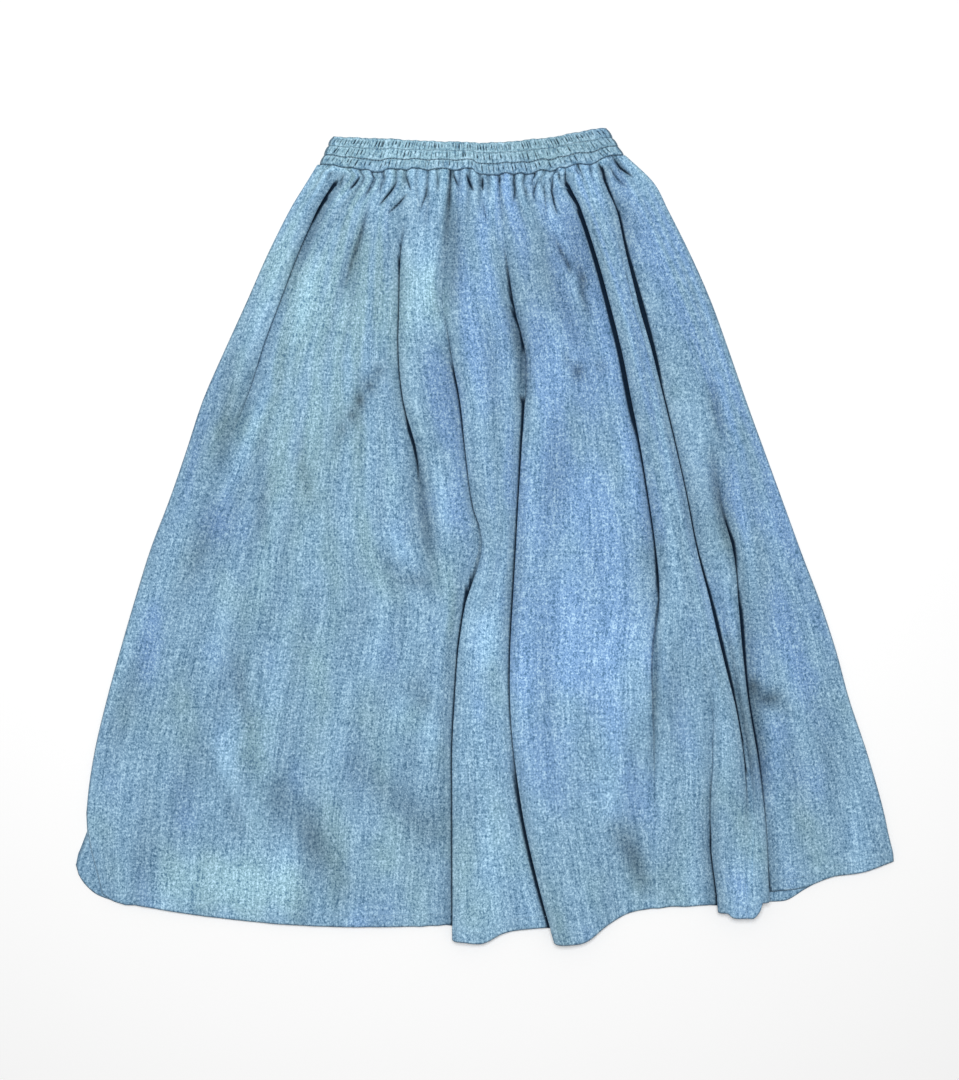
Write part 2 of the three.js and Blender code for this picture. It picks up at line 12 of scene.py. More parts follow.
import bpy
import numpy as np
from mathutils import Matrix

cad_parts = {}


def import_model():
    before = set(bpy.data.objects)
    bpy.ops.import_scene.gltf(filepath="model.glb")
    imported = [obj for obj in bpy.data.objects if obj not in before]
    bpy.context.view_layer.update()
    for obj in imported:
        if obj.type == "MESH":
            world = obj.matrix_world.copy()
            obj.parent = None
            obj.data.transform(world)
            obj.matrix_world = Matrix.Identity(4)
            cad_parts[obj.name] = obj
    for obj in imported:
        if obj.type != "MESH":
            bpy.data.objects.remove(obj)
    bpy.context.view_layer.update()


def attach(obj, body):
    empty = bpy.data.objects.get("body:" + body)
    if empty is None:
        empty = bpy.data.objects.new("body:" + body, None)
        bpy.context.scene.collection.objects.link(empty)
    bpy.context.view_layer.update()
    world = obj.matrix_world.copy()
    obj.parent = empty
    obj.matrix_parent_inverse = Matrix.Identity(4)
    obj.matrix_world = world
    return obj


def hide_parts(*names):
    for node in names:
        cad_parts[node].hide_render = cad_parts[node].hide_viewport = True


Number = Union[float, np.ndarray]
Rows = tuple[tuple[float, ...], ...]
Path2D = tuple[tuple[float, float], ...]
Colour = tuple[float, float, float]
Scale = tuple[float, float, float]
Grid = dict[str, np.ndarray]

MM = 0.001
BODY = "root"

log = logging.getLogger("skirt")


class Draw(IntEnum):
    """What each random draw starts from."""

    SWELL = 5
    HEM_ROPE = 9
    FINE_GATHERS = 21
    BAND_SWELL = 31
    SHADE_STREAKS = 41
    TONE_STREAKS = 43
    BAND_TOP = 61
    PUCKERS = 100


def mix(low: Number, high: Number, share: Number) -> Number:
    """Return the value that is a share of the way from low to high."""
    return low + (high - low) * share


def ease(value: Number) -> Number:
    """Return a smooth step from 0 to 1 while the value goes from 0 to 1."""
    share = np.clip(value, 0.0, 1.0)
    return share * share * (3.0 - 2.0 * share)


def bell(value: Number) -> Number:
    """Return a bell curve that is 1 at 0."""
    return np.exp(-np.square(value))


class Table:
    """A table of named columns, read at any value of its first column."""

    def __init__(self, columns: tuple[str, ...], rows: Rows) -> None:
        """Keep the rows in rising order of the first column.

        Args:
            columns: the columns' names.
            rows: the values, in rising or falling order of the first column.
        """
        values = np.array(rows, dtype=float)
        if values[0, 0] > values[-1, 0]:
            values = values[::-1]
        self.key = values[:, 0]
        self.column = {name: values[:, index] for index, name in enumerate(columns)}

    def _between(self, at: Number) -> tuple[np.ndarray, np.ndarray, np.ndarray]:
        """Find the rows on each side of some values of the key.

        Args:
            at: values of the key.

        Returns:
            The row before, the row after, and the share of the way between them.
        """
        after = np.clip(np.searchsorted(self.key, at), 1, len(self.key) - 1)
        before = after - 1
        share = (at - self.key[before]) / (self.key[after] - self.key[before])
        return before, after, np.clip(share, 0.0, 1.0)

    def steps(self, name: str, at: Number) -> np.ndarray:
        """Read a column, eased from row to row.

        Args:
            name: the column.
            at: values of the key.

        Returns:
            The column's value at each of them.
        """
        before, after, share = self._between(at)
        values = self.column[name]
        return mix(values[before], values[after], ease(share))

    def curve(self, name: str, at: Number) -> np.ndarray:
        """Read a column on a smooth curve through its rows.

        Args:
            name: the column.
            at: values of the key.

        Returns:
            The column's value at each of them.
        """
        before, after, share = self._between(at)
        values = self.column[name]
        rows = np.arange(len(self.key))
        low = np.maximum(rows - 1, 0)
        high = np.minimum(rows + 1, len(self.key) - 1)
        slope = (values[high] - values[low]) / (self.key[high] - self.key[low])
        span = self.key[after] - self.key[before]
        square = share * share
        cube = square * share
        return (
            values[before] * (2 * cube - 3 * square + 1)
            + slope[before] * span * (cube - 2 * square + share)
            + values[after] * (3 * square - 2 * cube)
            + slope[after] * span * (cube - square)
        )


class Facing(Enum):
    """Which side of a fold lies over the other."""

    RIGHT_OVER_LEFT = 1
    LEFT_OVER_RIGHT = -1


@dataclass(frozen=True)
class Fold:
    """A fold that runs down the front: its sizes, and its course from the waist to the hem.

    The course says how high the upper side rises, how far the fold is shut, how high its lower side
    lies, and how wide a gap shows beside its edge.
    """

    facing: Facing
    spread: float
    lap: float
    reach: float
    course: Table


@dataclass(frozen=True)
class Crease:
    """A soft trough or ridge, or a sharp slit, along a path on a panel.

    Its shade is the painted light along it, or the painted shade where it is below 0, and a slit
    also has a painted dark line along its middle.
    """

    path: Path2D
    width: float
    height: float
    shade: float = 0.0
    hollow: float = 0.0

    def over(self, x: np.ndarray, y: np.ndarray) -> np.ndarray:
        """Measure the crease at points across a panel.

        Args:
            x: how far across the points are.
            y: how far up they are.

        Returns:
            The height that the crease adds, its painted light and shade, and its slit's painted dark line.
        """
        points = np.array(self.path)
        steps = np.hypot(*np.diff(points, axis=0).T)
        whole = steps.sum()
        nearest = np.full(x.shape, np.inf)
        along = np.zeros(x.shape)
        passed = 0.0
        for start, end, length in zip(points[:-1], points[1:], steps):
            toward = (end - start) / length
            share = np.clip((x - start[0]) * toward[0] + (y - start[1]) * toward[1], 0.0, length)
            away = np.hypot(x - start[0] - toward[0] * share, y - start[1] - toward[1] * share)
            closer = away < nearest
            nearest = np.where(closer, away, nearest)
            along = np.where(closer, (passed + share) / whole, along)
            passed += length
        taper = np.sin(math.pi * np.clip(along, 0.0, 1.0)) ** CREASE_TAPER
        shape = bell(nearest / self.width) * taper
        slit = bell(nearest / (SLIT_SHARE * self.width)) * taper
        return np.stack([self.height * shape, self.shade * shape, self.hollow * slit])


@dataclass(frozen=True)
class Patch:
    """A soft patch of the stonewashed cloth that is bluer or greener, or lighter or darker, than the rest.

    Its lighter or darker shade is partly the wash and partly painted light and shade. It ends at the
    folds that it names.
    """

    x: float
    y: float
    across: float
    along: float
    tone: float
    shade: float = 0.0
    after: str = ""
    before: str = ""

    def weight(self, x: np.ndarray, y: np.ndarray, column: np.ndarray) -> np.ndarray:
        """Find how much of the patch is at points of the cloth.

        Args:
            x: how far across the points are.
            y: how far up they are.
            column: their columns, numbered by the places.

        Returns:
            The patch's share at each point.
        """
        weight = bell(np.hypot((x - self.x) / self.across, (y - self.y) / self.along))
        if self.after:
            weight = weight * ease((column - PLACES.index(self.after)) / PATCH_EDGE + 0.5)
        if self.before:
            weight = weight * ease((PLACES.index(self.before) - column) / PATCH_EDGE + 0.5)
        return weight


# How bluntly a crease ends, and how wide its dark slit is, as a share of its width
CREASE_TAPER = 0.7
SLIT_SHARE = 0.6

# How much of a column's number the edge of a patch takes up at a fold
PATCH_EDGE = 0.16

PLACES = ("left", "hip", "notch", "strip", "panel", "groove", "roll", "long", "last", "right")
LAST_PLACE = len(PLACES) - 1

# How far across each place is, in sections from the waist seam down to the hem
SECTIONS = Table(("y", *PLACES, "back_left"), (
    (420, -177, -152, -81, -35, 15, 91, 107, 129, 140, 156, -177),
    (390, -195, -162, -84, -36, 16, 91, 115, 134, 154, 187, -195),
    (360, -213, -181, -88, -38, 18, 105, 125, 146, 169, 203, -213),
    (310, -238, -204, -92, -42, 23, 122, 141, 158, 191, 228, -238),
    (260, -260, -223, -93, -47, 30, 136, 157, 171, 212, 250, -260),
    (205, -285, -243, -94, -38, 43, 150, 172, 186, 231, 270, -285),
    (150, -309, -259, -89, -27, 44, 161, 186, 199, 247, 289, -309),
    (95, -327, -284, -76, -21, 41, 172, 199, 212, 257, 309, -327),
    (40, -346, -304, -70, -14, 38, 181, 211, 224, 263, 329, -346),
    (-15, -367, -322, -60, -4, 35, 189, 222, 235, 276, 349, -367),
    (-70, -384, -338, -46, -19, 32, 192, 233, 250, 281, 370, -384),
    (-125, -400, -352, -52, -28, 29, 185, 242, 263, 286, 388, -400),
    (-180, -415, -364, -60, -32, 28, 186, 249, 276, 292, 403, -415),
    (-240, -429, -377, -66, -35, 32, 188, 251, 286, 302, 423, -429),
    (-300, -437, -382, -72, -35, 40, 188, 249, 290, 309, 440, -438),
    (-332, -435, -385, -75, -35, 46, 189, 250, 290, 311, 447, -438),
    (-350, -431, -386, -76, -35, 50, 189, 250, 290, 312, 451, -447),
    (-400, -419, -389, -80, -35, 62, 189, 256, 291, 314, 453, -453),
    (-450, -419, -391, -84, -35, 76, 189, 258, 291, 314, 453, -453),
))

# The front's hem at each place: its height at the start, quarters and end of the stretch from there
HEM_SHARES = (0.0, 0.25, 0.5, 0.75, 1.0)
FRONT_HEM = {
    "left": (-393, -398, -402, -404, -406),
    "hip": (-406, -418, -426, -430, -430),
    "notch": (-430, -430, -429, -429, -428),
    "strip": (-445, -447, -437, -433, -431),
    "panel": (-448, -445, -428, -415, -410),
    "groove": (-410, -408, -408, -407, -406),
    "roll": (-413, -417, -418, -418, -418),
    "long": (-418, -416, -413, -409, -401),
    "last": (-391, -387, -375, -370, -358),
    "right": (-358, -358, -358, -358, -358),
}
SEAM_AT_PLACES = {
    "left": 410, "hip": 407, "notch": 403, "strip": 404, "panel": 398,
    "groove": 406, "roll": 409, "long": 415, "last": 418, "right": 420,
}

# The waist seam as the elastic pulls it, scalloped between its gathers
WAIST_SEAM = Table(("x", "y"), (
    (-182, 409.5), (-165, 408.5), (-156, 406), (-145, 405.8), (-138, 403.8), (-127, 403.2), (-121, 401),
    (-112, 401.2), (-106, 404), (-92, 403.8), (-83, 403.2), (-79, 405), (-70, 404.6), (-61, 402.8),
    (-51, 404.6), (-40, 404.6), (-31, 402.6), (-20, 405), (-12, 404.4), (-8, 400), (3, 398), (15, 397.6),
    (24, 399.8), (33, 398.4), (42, 399.8), (49, 398), (62, 402.8), (68, 403), (73, 401.2), (79, 403.2),
    (84, 405.8), (90, 405.4), (97, 407.8), (104, 410), (113, 409), (121, 410), (128, 414.2), (136, 417.8),
    (141, 419.3), (148, 419.4), (157, 420),
))

# The back's hem, from the left corner to the right one
BACK_HEM = Table(("x", "y"), (
    (-452, -362), (-449, -373), (-440, -386), (-427, -396), (-400, -404), (-356, -409), (-257, -421),
    (-108, -426), (84, -424), (172, -404), (254, -400), (329, -402), (353, -389), (392, -368), (450, -356),
))

# The waistband's top edge
BAND_TOP = Table(("x", "y"), (
    (-168, 439), (-147, 438), (-92, 435.5), (-37, 433), (18, 432.5), (73, 438), (106, 444), (131, 448),
    (138, 447),
))

# Across a fold, from its lower side to its upper one: how far out each point lies when the fold is
# shut, as a share of its spread and of its lap, and how high, as a share of its rise
FOLD_PROFILE = Table(("turn", "out", "under", "height"), (
    (-1, -0.6, 0, 0),
    (-0.55, 0, 0.6, 0),
    (-0.3, 0, 1, 0.14),
    (-0.05, 0, 1, 0.34),
    (0.2, 0, 0.3, 0.46),
    (0.45, 0, 0, 0.72),
    (0.7, 0, 0.2, 0.95),
    (1, 0.8, 0, 1),
))

# How high the front's middle layer lies, by how far below the waist seam it is
FRONT_LEVEL = Table(("below", "level"), (
    (0, 7.6), (30, 6.8), (80, 5.4), (160, 4.8), (300, 4.5), (900, 4.3),
))

# How far a gap holds back its fold's edge, as a share of the gap, and over how much of a turn
HELD_BACK = 0.4
HELD_BACK_TURN = 0.45

# How far each side of its place's number a fold reaches, where columns are numbered by the places
FOLD_HALF = 0.25


def course(*rows: tuple[float, ...]) -> Table:
    """Return a fold's course, from rows of its height across the skirt, rise, shut, lie and gap."""
    return Table(("y", "rise", "shut", "lie", "gap"), rows)


FOLDS = {
    "hip": Fold(Facing.LEFT_OVER_RIGHT, 12, 7, 45, course(
        (406, 0, 0, 0, 0), (396, 4.5, 0, 0, 0.6), (384, 6, 0.6, 0, 2), (362, 6.3, 0.9, 0, 1.8),
        (335, 6.5, 1, 0, 0.9), (240, 6.5, 1, 0, 0.7), (200, 6.5, 1, 0, 0.6), (145, 6, 0.4, 0, 0.3),
        (95, 4, 0, 0, 0), (18, 1.5, 0, 0, 0), (-60, 0, 0, 0, 0),
    )),
    "notch": Fold(Facing.RIGHT_OVER_LEFT, 12, 7, 42, course(
        (390, 0, 0, 0, 0), (352, 4.5, 0, 0, 0), (328, 6, 0.5, 0, 0.6), (305, 6.8, 0.9, 0, 2),
        (280, 7, 1, 0, 2.6), (230, 7, 1, 0, 2.8), (200, 7, 1, 0, 2.4), (140, 7, 1, 0, 3),
        (90, 6, 0.5, 0, 1.4), (35, 5, 0, 0, 0), (-62, 1.5, 0, 0, 0), (-120, 0, 0, 0, 0),
    )),
    "strip": Fold(Facing.RIGHT_OVER_LEFT, 12, 7, 60, course(
        (390, 0, 0, 0, 0), (330, 1, 0, 0, 0), (285, 5.5, 0, 0, 0), (235, 6.5, 0.3, 0, 0.3),
        (185, 6.5, 0.8, 0, 1.4), (150, 6.5, 0.9, 0, 2.2), (80, 6.5, 1, 0, 3), (35, 6.5, 1, 0, 2.4),
        (0, 6, 0.4, 0, 0.6), (-40, 6, 0.4, 0, 0.8), (-80, 6.5, 1, 0, 2), (-120, 6.5, 1, 0, 2.4),
        (-240, 7.5, 1, 0, 2.4), (-280, 8, 1, 0, 3), (-440, 9, 1, 0, 3.4),
    )),
    "panel": Fold(Facing.RIGHT_OVER_LEFT, 13, 8, 65, course(
        (390, 0, 0, 0, 0), (340, 2, 0, 0, 0), (322, 5.5, 0, 0, 0.3), (300, 6.2, 0.3, 0, 1),
        (270, 6.5, 0.5, 0, 1.4), (235, 6.5, 0.8, 0, 1.8), (206, 6.2, 0.6, 0, 1.5), (190, 6, 0.4, 0, 0),
        (158, 6, 0.4, 0, 0),
        (138, 6.5, 0.9, 0, 2.6), (40, 6.5, 1, 0, 2.2),
        (-20, 7, 1, 0, 2.2), (-120, 7, 1, 0, 1.8), (-165, 7, 1, 0, 3.2), (-226, 8, 1, 0, 3.8),
        (-300, 9.5, 1, 0, 5.4), (-444, 11, 1, 0, 7),
    )),
    "groove": Fold(Facing.RIGHT_OVER_LEFT, 11, 6.5, 30, course(
        (404, 0, 0, 0, 0), (394, 4.5, 0, 0, 1), (381, 6, 0.6, 0, 3), (345, 7.5, 1, 0, 4.2),
        (289, 8, 1, 0, 4.8), (145, 8, 1, 0, 4.4), (95, 7.5, 1, 0, 3.4), (45, 7, 1, 0, 2.6),
        (-5, 7, 1, 0, 2.2), (-55, 6.5, 0.8, 0, 1.4), (-100, 6, 0.5, 0, 0.9), (-160, 5, 0.2, 0, 0.9),
        (-225, 4, 0, 0, 0.9), (-290, 3, 0, 0, 0.6), (-350, 1, 0, 0, 0), (-400, 0, 0, 0, 0),
    )),
    "roll": Fold(Facing.RIGHT_OVER_LEFT, 12, 7, 40, course(
        (-125, 0, 0, 0, 0), (-165, 5.5, 0, 0, 0), (-200, 6.5, 0.4, 0, 0.3), (-240, 7, 0.8, 0, 0.6),
        (-305, 8, 1, 0, 0.8), (-350, 9, 1, 0, 1.6), (-402, 10, 1, 0, 2.4),
    )),
    "long": Fold(Facing.LEFT_OVER_RIGHT, 11, 6.5, 34, course(
        (412, 0, 0, 0, 0), (402, 4.5, 0, 0, 2), (384, 6, 0.6, 0, 2.6), (350, 8, 1, 0, 3.4),
        (302, 9, 1, 0, 5.8), (245, 9, 1, 0, 8), (200, 9, 1, 0, 6), (150, 8, 1, 0, 3.6),
        (90, 7.5, 1, 0, 2.2), (50, 7.5, 1, 0, 2.2), (0, 7.5, 1, 0, 3), (-50, 8, 1, 0, 5),
        (-100, 8, 1, 0, 6.6), (-150, 9, 1, 0, 6), (-200, 8, 1, 2, 3.6), (-245, 7, 0.7, 3.4, 2),
        (-275, 5.5, 0.3, 5, 0.8), (-300, 4, 0, 6.5, 0.5), (-345, 1.5, 0, 8.5, 0), (-400, 0, 0, 9.5, 0),
    )),
    "last": Fold(Facing.LEFT_OVER_RIGHT, 12, 7, 40, course(
        (125, 0, 0, 0, 0), (80, 4.5, 0, 0, 0), (35, 6, 0.4, 0, 0.6), (-5, 6.5, 0.8, 0, 2),
        (-45, 7, 1, 0, 3.6), (-92, 7, 1, 0, 4.2), (-145, 7.5, 1, 0, 3.6), (-190, 8, 1, 0, 1.8),
        (-240, 9, 1, 0, 2), (-350, 11, 1, 0, 2.6), (-394, 12, 1, 0, 3.4),
    )),
}

# The valleys between gathers along the front's waist seam: place across, depth, and run down
GATHERS: Rows = (
    (-169, 2.2, 60), (-147, 1.8, 35), (-135, 2.8, 80), (-122, 2.4, 50), (-110, 2.0, 40), (-96, 2.8, 60),
    (-85, 2.4, 45), (-73, 2.0, 70), (-61, 2.6, 80), (-50, 2.0, 45), (-36, 2.8, 110), (-26, 2.0, 40),
    (-16, 2.4, 70), (-4, 2.2, 50), (6, 2.0, 40), (17, 2.8, 120), (34, 2.4, 70), (46, 2.2, 55),
    (57, 2.2, 45), (67, 2.4, 60), (78, 2.0, 40), (104, 2.2, 40), (117, 2.4, 35), (142, 2.4, 45),
)

# The front's creases that no fold carries, with painted shade along the troughs and painted light along the
# ridges
CREASES = (
    Crease(((-124, 372), (-128, 358), (-135, 334), (-145, 304), (-156, 262)), 5, -3, -0.34, 0.55),
    Crease(((-128, 350), (-143, 310), (-154, 258)), 14, -1.6, -0.16),
    Crease(((-103, 200), (-118, 178), (-136, 150), (-152, 123), (-164, 98)), 8, -3, -0.5, 0.4),
    Crease(((-33, 404), (-35, 360), (-37, 330), (-38, 245)), 11, -2.8, -0.36),
    Crease(((28, 252), (36, 225), (43, 195), (44, 165), (41, 132)), 8, -2.6, -0.4),
    Crease(((-158, 394), (-176, 360), (-198, 310), (-222, 245)), 9, -1.4, -0.26),
    Crease(((75, 336), (84, 316), (94, 298), (112, 278)), 5, -2.4, -0.36, 0.62),
    Crease(((86, 202), (100, 183), (117, 176), (139, 192)), 5, -2, -0.46, 0.3),
    Crease(((90, 213), (104, 196), (122, 190), (139, 204)), 5, 1.6, 0.16),
    Crease(((102, 302), (112, 281), (108, 262), (119, 244)), 4, -1.8, -0.36, 0.3),
    Crease(((94, 300), (102, 279), (99, 258)), 4, 1.4, 0.18),
    Crease(((190, -40), (190, -136), (188, -202), (184, -290)), 5, -2.2, -0.26, 0.35),
    Crease(((292, -160), (312, -178), (342, -186)), 8, -2.8, -0.6),
    Crease(((-238, -262), (-205, -308), (-176, -352), (-146, -414)), 22, -3.2, -0.4),
    Crease(((136, -306), (162, -348), (186, -402)), 13, -3, -0.46),
    Crease(((-269, -132), (-267, -175), (-256, -218)), 8, -2, -0.3),
    Crease(((-305, -200), (-273, -279), (-236, -345)), 16, 3, 0.16),
    Crease(((-318, -210), (-292, -270), (-262, -330)), 9, -1.6, -0.16),
    Crease(((-152, -240), (-97, -290), (-44, -340)), 18, -2.2, -0.26),
    Crease(((-62, 350), (-66, 285), (-74, 215)), 14, 2.2, 0.26),
    Crease(((4, -78), (3, -115), (4, -152)), 14, 1.8, 0.34),
    Crease(((-47, 250), (-47, 232), (-44, 212)), 4, 1.6, 0.35),
    Crease(((-273, 216), (-284, 130), (-291, 70)), 9, -2, -0.2),
    Crease(((-212, 262), (-220, 200), (-226, 140)), 8, -2, -0.2),
    Crease(((-239, 236), (-250, 150), (-262, 60)), 8, 1.8, 0.14),
    Crease(((-289, 50), (-306, -5), (-326, -60)), 12, -1.8, -0.16),
    Crease(((-185, 315), (-195, 262), (-200, 215)), 10, 1.6, 0.16),
    Crease(((-240, 125), (-244, 40), (-240, -30)), 9, -1.6, -0.2),
    Crease(((-199, 122), (-201, 84), (-194, 50), (-176, 24)), 7, -1.6, -0.24),
    Crease(((-75, 116), (-68, 58), (-61, 5), (-60, -62)), 10, -1.8, -0.34),
    Crease(((-52, 90), (-44, 40), (-38, -6)), 8, 1.8, 0.2),
    Crease(((-60, -34), (-92, -10), (-122, 8)), 11, 1.8, 0.2),
    Crease(((-44, -64), (-88, -44), (-120, -34)), 8, -2, -0.28),
    Crease(((-108, -180), (-72, -210), (-46, -232)), 16, 2, 0.18),
    Crease(((-92, -160), (-72, -172), (-44, -200)), 7, -1.6, -0.2),
    Crease(((264, 100), (255, 140), (249, 175)), 8, -1.8, -0.34),
    Crease(((249, 108), (254, 60), (263, 12), (275, -40)), 8, -1.8, -0.38),
    Crease(((150, 130), (166, 60), (170, -10)), 12, 1.6, 0.1),
    Crease(((118, -30), (124, -110), (126, -190)), 18, 1.6, 0.1),
    Crease(((62, -40), (68, -140), (84, -240)), 14, -1.4, -0.12),
    Crease(((70, 300), (92, 250), (112, 190)), 12, -1.4, -0.14),
    Crease(((-30, -280), (-26, -350), (-22, -425)), 12, -1.2, -0.1),
    Crease(((292, -150), (304, -215), (312, -290)), 14, -1.5, -0.28),
)

# The short slits under the waist seam, where a gather shuts on itself, each with painted shade and a
# painted dark line along it
SLITS = (
    Crease(((-134, 399), (-141, 389), (-149, 380)), 3.4, -2.8, -0.2, 1.0),
    Crease(((-119, 399), (-124, 386), (-132, 372)), 2.8, -2.4, -0.2, 0.7),
    Crease(((-93, 394), (-101, 382), (-117, 362)), 2.8, -2.8, -0.2, 1.0),
    Crease(((-82, 379), (-93, 367), (-107, 354)), 2.8, -2.4, -0.2, 0.95),
    Crease(((-86, 400), (-83, 390), (-79, 378)), 3.0, -2.2, -0.25, 0.75),
    Crease(((-61, 391), (-64, 375), (-70, 356)), 2.8, -2.2, -0.2, 0.75),
    Crease(((-38, 390), (-38, 375), (-38, 360)), 2.6, -1.8, -0.2, 0.4),
    Crease(((-34, 402), (-31, 393), (-27, 384)), 2.6, -2.2, -0.2, 0.85),
    Crease(((-20, 402), (-15, 389), (-10, 378)), 3.6, -3, -0.2, 1.0),
    Crease(((-1, 398), (-1, 389), (-1, 379)), 3.0, -2.4, -0.2, 1.0),
    Crease(((-2, 374), (1, 358), (5, 342)), 2.6, -1.8, -0.15, 0.5),
    Crease(((18, 400), (18, 394), (17, 386)), 2.8, -2.4, -0.2, 0.8),
    Crease(((33, 400), (35, 384), (32, 364)), 2.4, -2.8, -0.2, 0.8),
    Crease(((62, 399), (55, 379), (56, 364)), 2.8, -2, -0.2, 0.75),
    Crease(((68, 400), (67, 380), (70, 346)), 2.6, -2, -0.2, 0.6),
    Crease(((77, 402), (75, 380), (82, 350)), 2.8, -2.6, -0.2, 0.95),
    Crease(((81, 405), (83, 398), (84, 390)), 2.8, -2.2, -0.2, 0.8),
    Crease(((90, 409), (90, 396), (90, 382)), 2.8, -2.2, -0.2, 0.8),
    Crease(((100, 408), (103, 401), (106, 395)), 2.6, -1.8, -0.2, 0.6),
    Crease(((125, 413), (131, 402), (136, 388)), 4.2, -2.4, -0.25, 1.0),
    Crease(((142, 419), (151, 406), (167, 394)), 3.2, -3, -0.25, 1.0),
    Crease(((134, 415), (146, 395), (160, 382)), 3.4, -2.2, -0.25, 0.6),
    Crease(((-152, 402), (-156, 392), (-160, 382)), 2.8, -1.8, -0.2, 0.6),
    Crease(((-165, 404), (-169, 396), (-172, 390)), 2.6, -1.8, -0.2, 0.5),
    Crease(((-110, 398), (-113, 386), (-114, 374)), 2.6, -1.8, -0.2, 0.5),
    Crease(((-52, 402), (-50, 392), (-50, 378)), 2.6, -1.8, -0.2, 0.5),
    Crease(((47, 388), (47, 382), (47, 372)), 2.8, -1.8, -0.2, 0.5),
)

# The patches' tone is the wash's own colour; their shade is partly the wash and partly painted light and
# shade
PATCHES = (
    Patch(0, 215, 75, 150, 0.75, -0.03, "notch", "panel"),
    Patch(100, 150, 120, 260, 0.95, -0.03, "panel", "groove"),
    Patch(75, 300, 45, 70, 0.0, -0.16, "panel", "groove"),
    Patch(-215, 290, 36, 105, -0.4, 0.22, "", "notch"),
    Patch(110, -140, 120, 130, 0.8, 0.16, "panel", "groove"),
    Patch(185, 220, 120, 200, 0.6, -0.05, "groove", ""),
    Patch(330, 60, 90, 160, 0.5, -0.04, "last", ""),
    Patch(330, -160, 80, 130, 0.35, -0.04, "last", ""),
    Patch(-295, 40, 40, 90, 0.6, -0.05),
    Patch(-345, -210, 60, 120, 0.0, -0.07),
    Patch(-300, 120, 50, 150, -0.1, -0.06),
    Patch(-150, 250, 95, 150, -0.8, 0.03),
    Patch(-72, 270, 24, 90, -0.5, 0.08, "notch", "strip"),
    Patch(-110, 130, 28, 60, 0.7, 0.0),
    Patch(-190, 60, 80, 110, -0.5),
    Patch(-30, 120, 30, 110, 0.4, -0.1, "notch", "strip"),
    Patch(0, -180, 40, 160, 0.1, 0.14, "strip", "panel"),
    Patch(7, -380, 60, 80, -0.6, 0.18, "strip", "panel"),
    Patch(-200, -120, 90, 160, -0.3),
    Patch(-257, -383, 80, 34, -1.4, 0.36),
    Patch(-114, -350, 50, 45, -0.3, 0.1),
    Patch(-60, -300, 60, 60, -0.5, -0.06, "", "strip"),
    Patch(140, -395, 120, 40, -0.4, 0.04, "panel", "roll"),
    Patch(276, -350, 40, 90, -0.1, 0.04),
    Patch(-80, 428, 110, 20, -1.2, 0.24),
    Patch(90, 430, 100, 20, -1.0, 0.02),
)


@dataclass
class Shell:
    """A closed wall around a middle surface, given as rows of points from the seam down."""

    middle: np.ndarray
    wall: np.ndarray

    def normals(self) -> np.ndarray:
        """Find the middle surface's upward normals.

        Returns:
            The normal at each point. Along the first row they are square to the cut.
        """
        along = np.gradient(self.middle, axis=0)
        across = np.gradient(self.middle, axis=1)
        normal = np.cross(along, across)
        normal[0, :, 1] = 0.0
        return normal / np.linalg.norm(normal, axis=2, keepdims=True)

    def faces(self) -> np.ndarray:
        """Set out the shell's faces.

        Returns:
            The points of each face: on its upper side, its lower side and the rim between them.
        """
        rows, columns = self.middle.shape[:2]
        index = np.arange(rows * columns).reshape(rows, columns)
        upper = np.stack([index[:-1, :-1], index[1:, :-1], index[1:, 1:], index[:-1, 1:]], axis=-1)
        upper = upper.reshape(-1, 4)
        lower = upper[:, ::-1] + rows * columns
        rim = np.concatenate([index[:, 0], index[-1, 1:], index[-2::-1, -1], index[0, -2:0:-1]])
        after = np.roll(rim, -1)
        below = rows * columns
        sides = np.stack([after, rim, rim + below, after + below], axis=-1)
        return np.concatenate([upper, lower, sides])

    def points(self) -> np.ndarray:
        """Return the upper side's points and then the lower side's."""
        offset = self.normals() * (self.wall / 2.0)[..., None]
        sides = (self.middle + offset, self.middle - offset)
        return np.concatenate([side.reshape(-1, 3) for side in sides])


def make_object(
    name: str, points: np.ndarray, faces: np.ndarray, layers: dict[str, np.ndarray],
) -> bpy.types.Object:
    """Make a smooth mesh object.

    Args:
        name: the object's name.
        points: its points, in millimetres.
        faces: the points of each face.
        layers: values at its points, by the name that a material reads them by.

    Returns:
        The object, linked to the scene.
    """
    mesh = bpy.data.meshes.new(name)
    mesh.from_pydata((points * MM).tolist(), [], faces.tolist())
    mesh.shade_smooth()
    for layer, values in layers.items():
        flat = np.asarray(values, dtype=np.float32)
        kind, key = ("FLOAT", "value") if flat.ndim == 1 else ("FLOAT_VECTOR", "vector")
        mesh.attributes.new(layer, kind, "POINT").data.foreach_set(key, flat.ravel())
    thing = bpy.data.objects.new(name, mesh)
    bpy.context.scene.collection.objects.link(thing)
    return thing


class Waves:
    """A gentle unevenness made of a few long waves, the same in every run."""

    def __init__(self, seed: int, length: float, count: int = 7) -> None:
        """Draw the waves.

        Args:
            seed: what the draw starts from.
            length: the waves' mean length.
            count: how many waves there are.
        """
        draw = np.random.default_rng(seed)
        turn = draw.uniform(0.0, 2.0 * math.pi, count)
        pace = 2.0 * math.pi / (length * draw.uniform(0.6, 1.7, count))
        self.pace_x = pace * np.cos(turn)
        self.pace_y = pace * np.sin(turn)
        self.start = draw.uniform(0.0, 2.0 * math.pi, count)

    def at(self, x: np.ndarray, y: Number) -> np.ndarray:
        """Read the waves.

        Args:
            x: how far across the points are.
            y: how far up they are.

        Returns:
            A height of about -1 to 1 at each point.
        """
        total = sum(
            np.sin(x * pace_x + y * pace_y + start)
            for pace_x, pace_y, start in zip(self.pace_x, self.pace_y, self.start)
        )
        return total / math.sqrt(len(self.start))


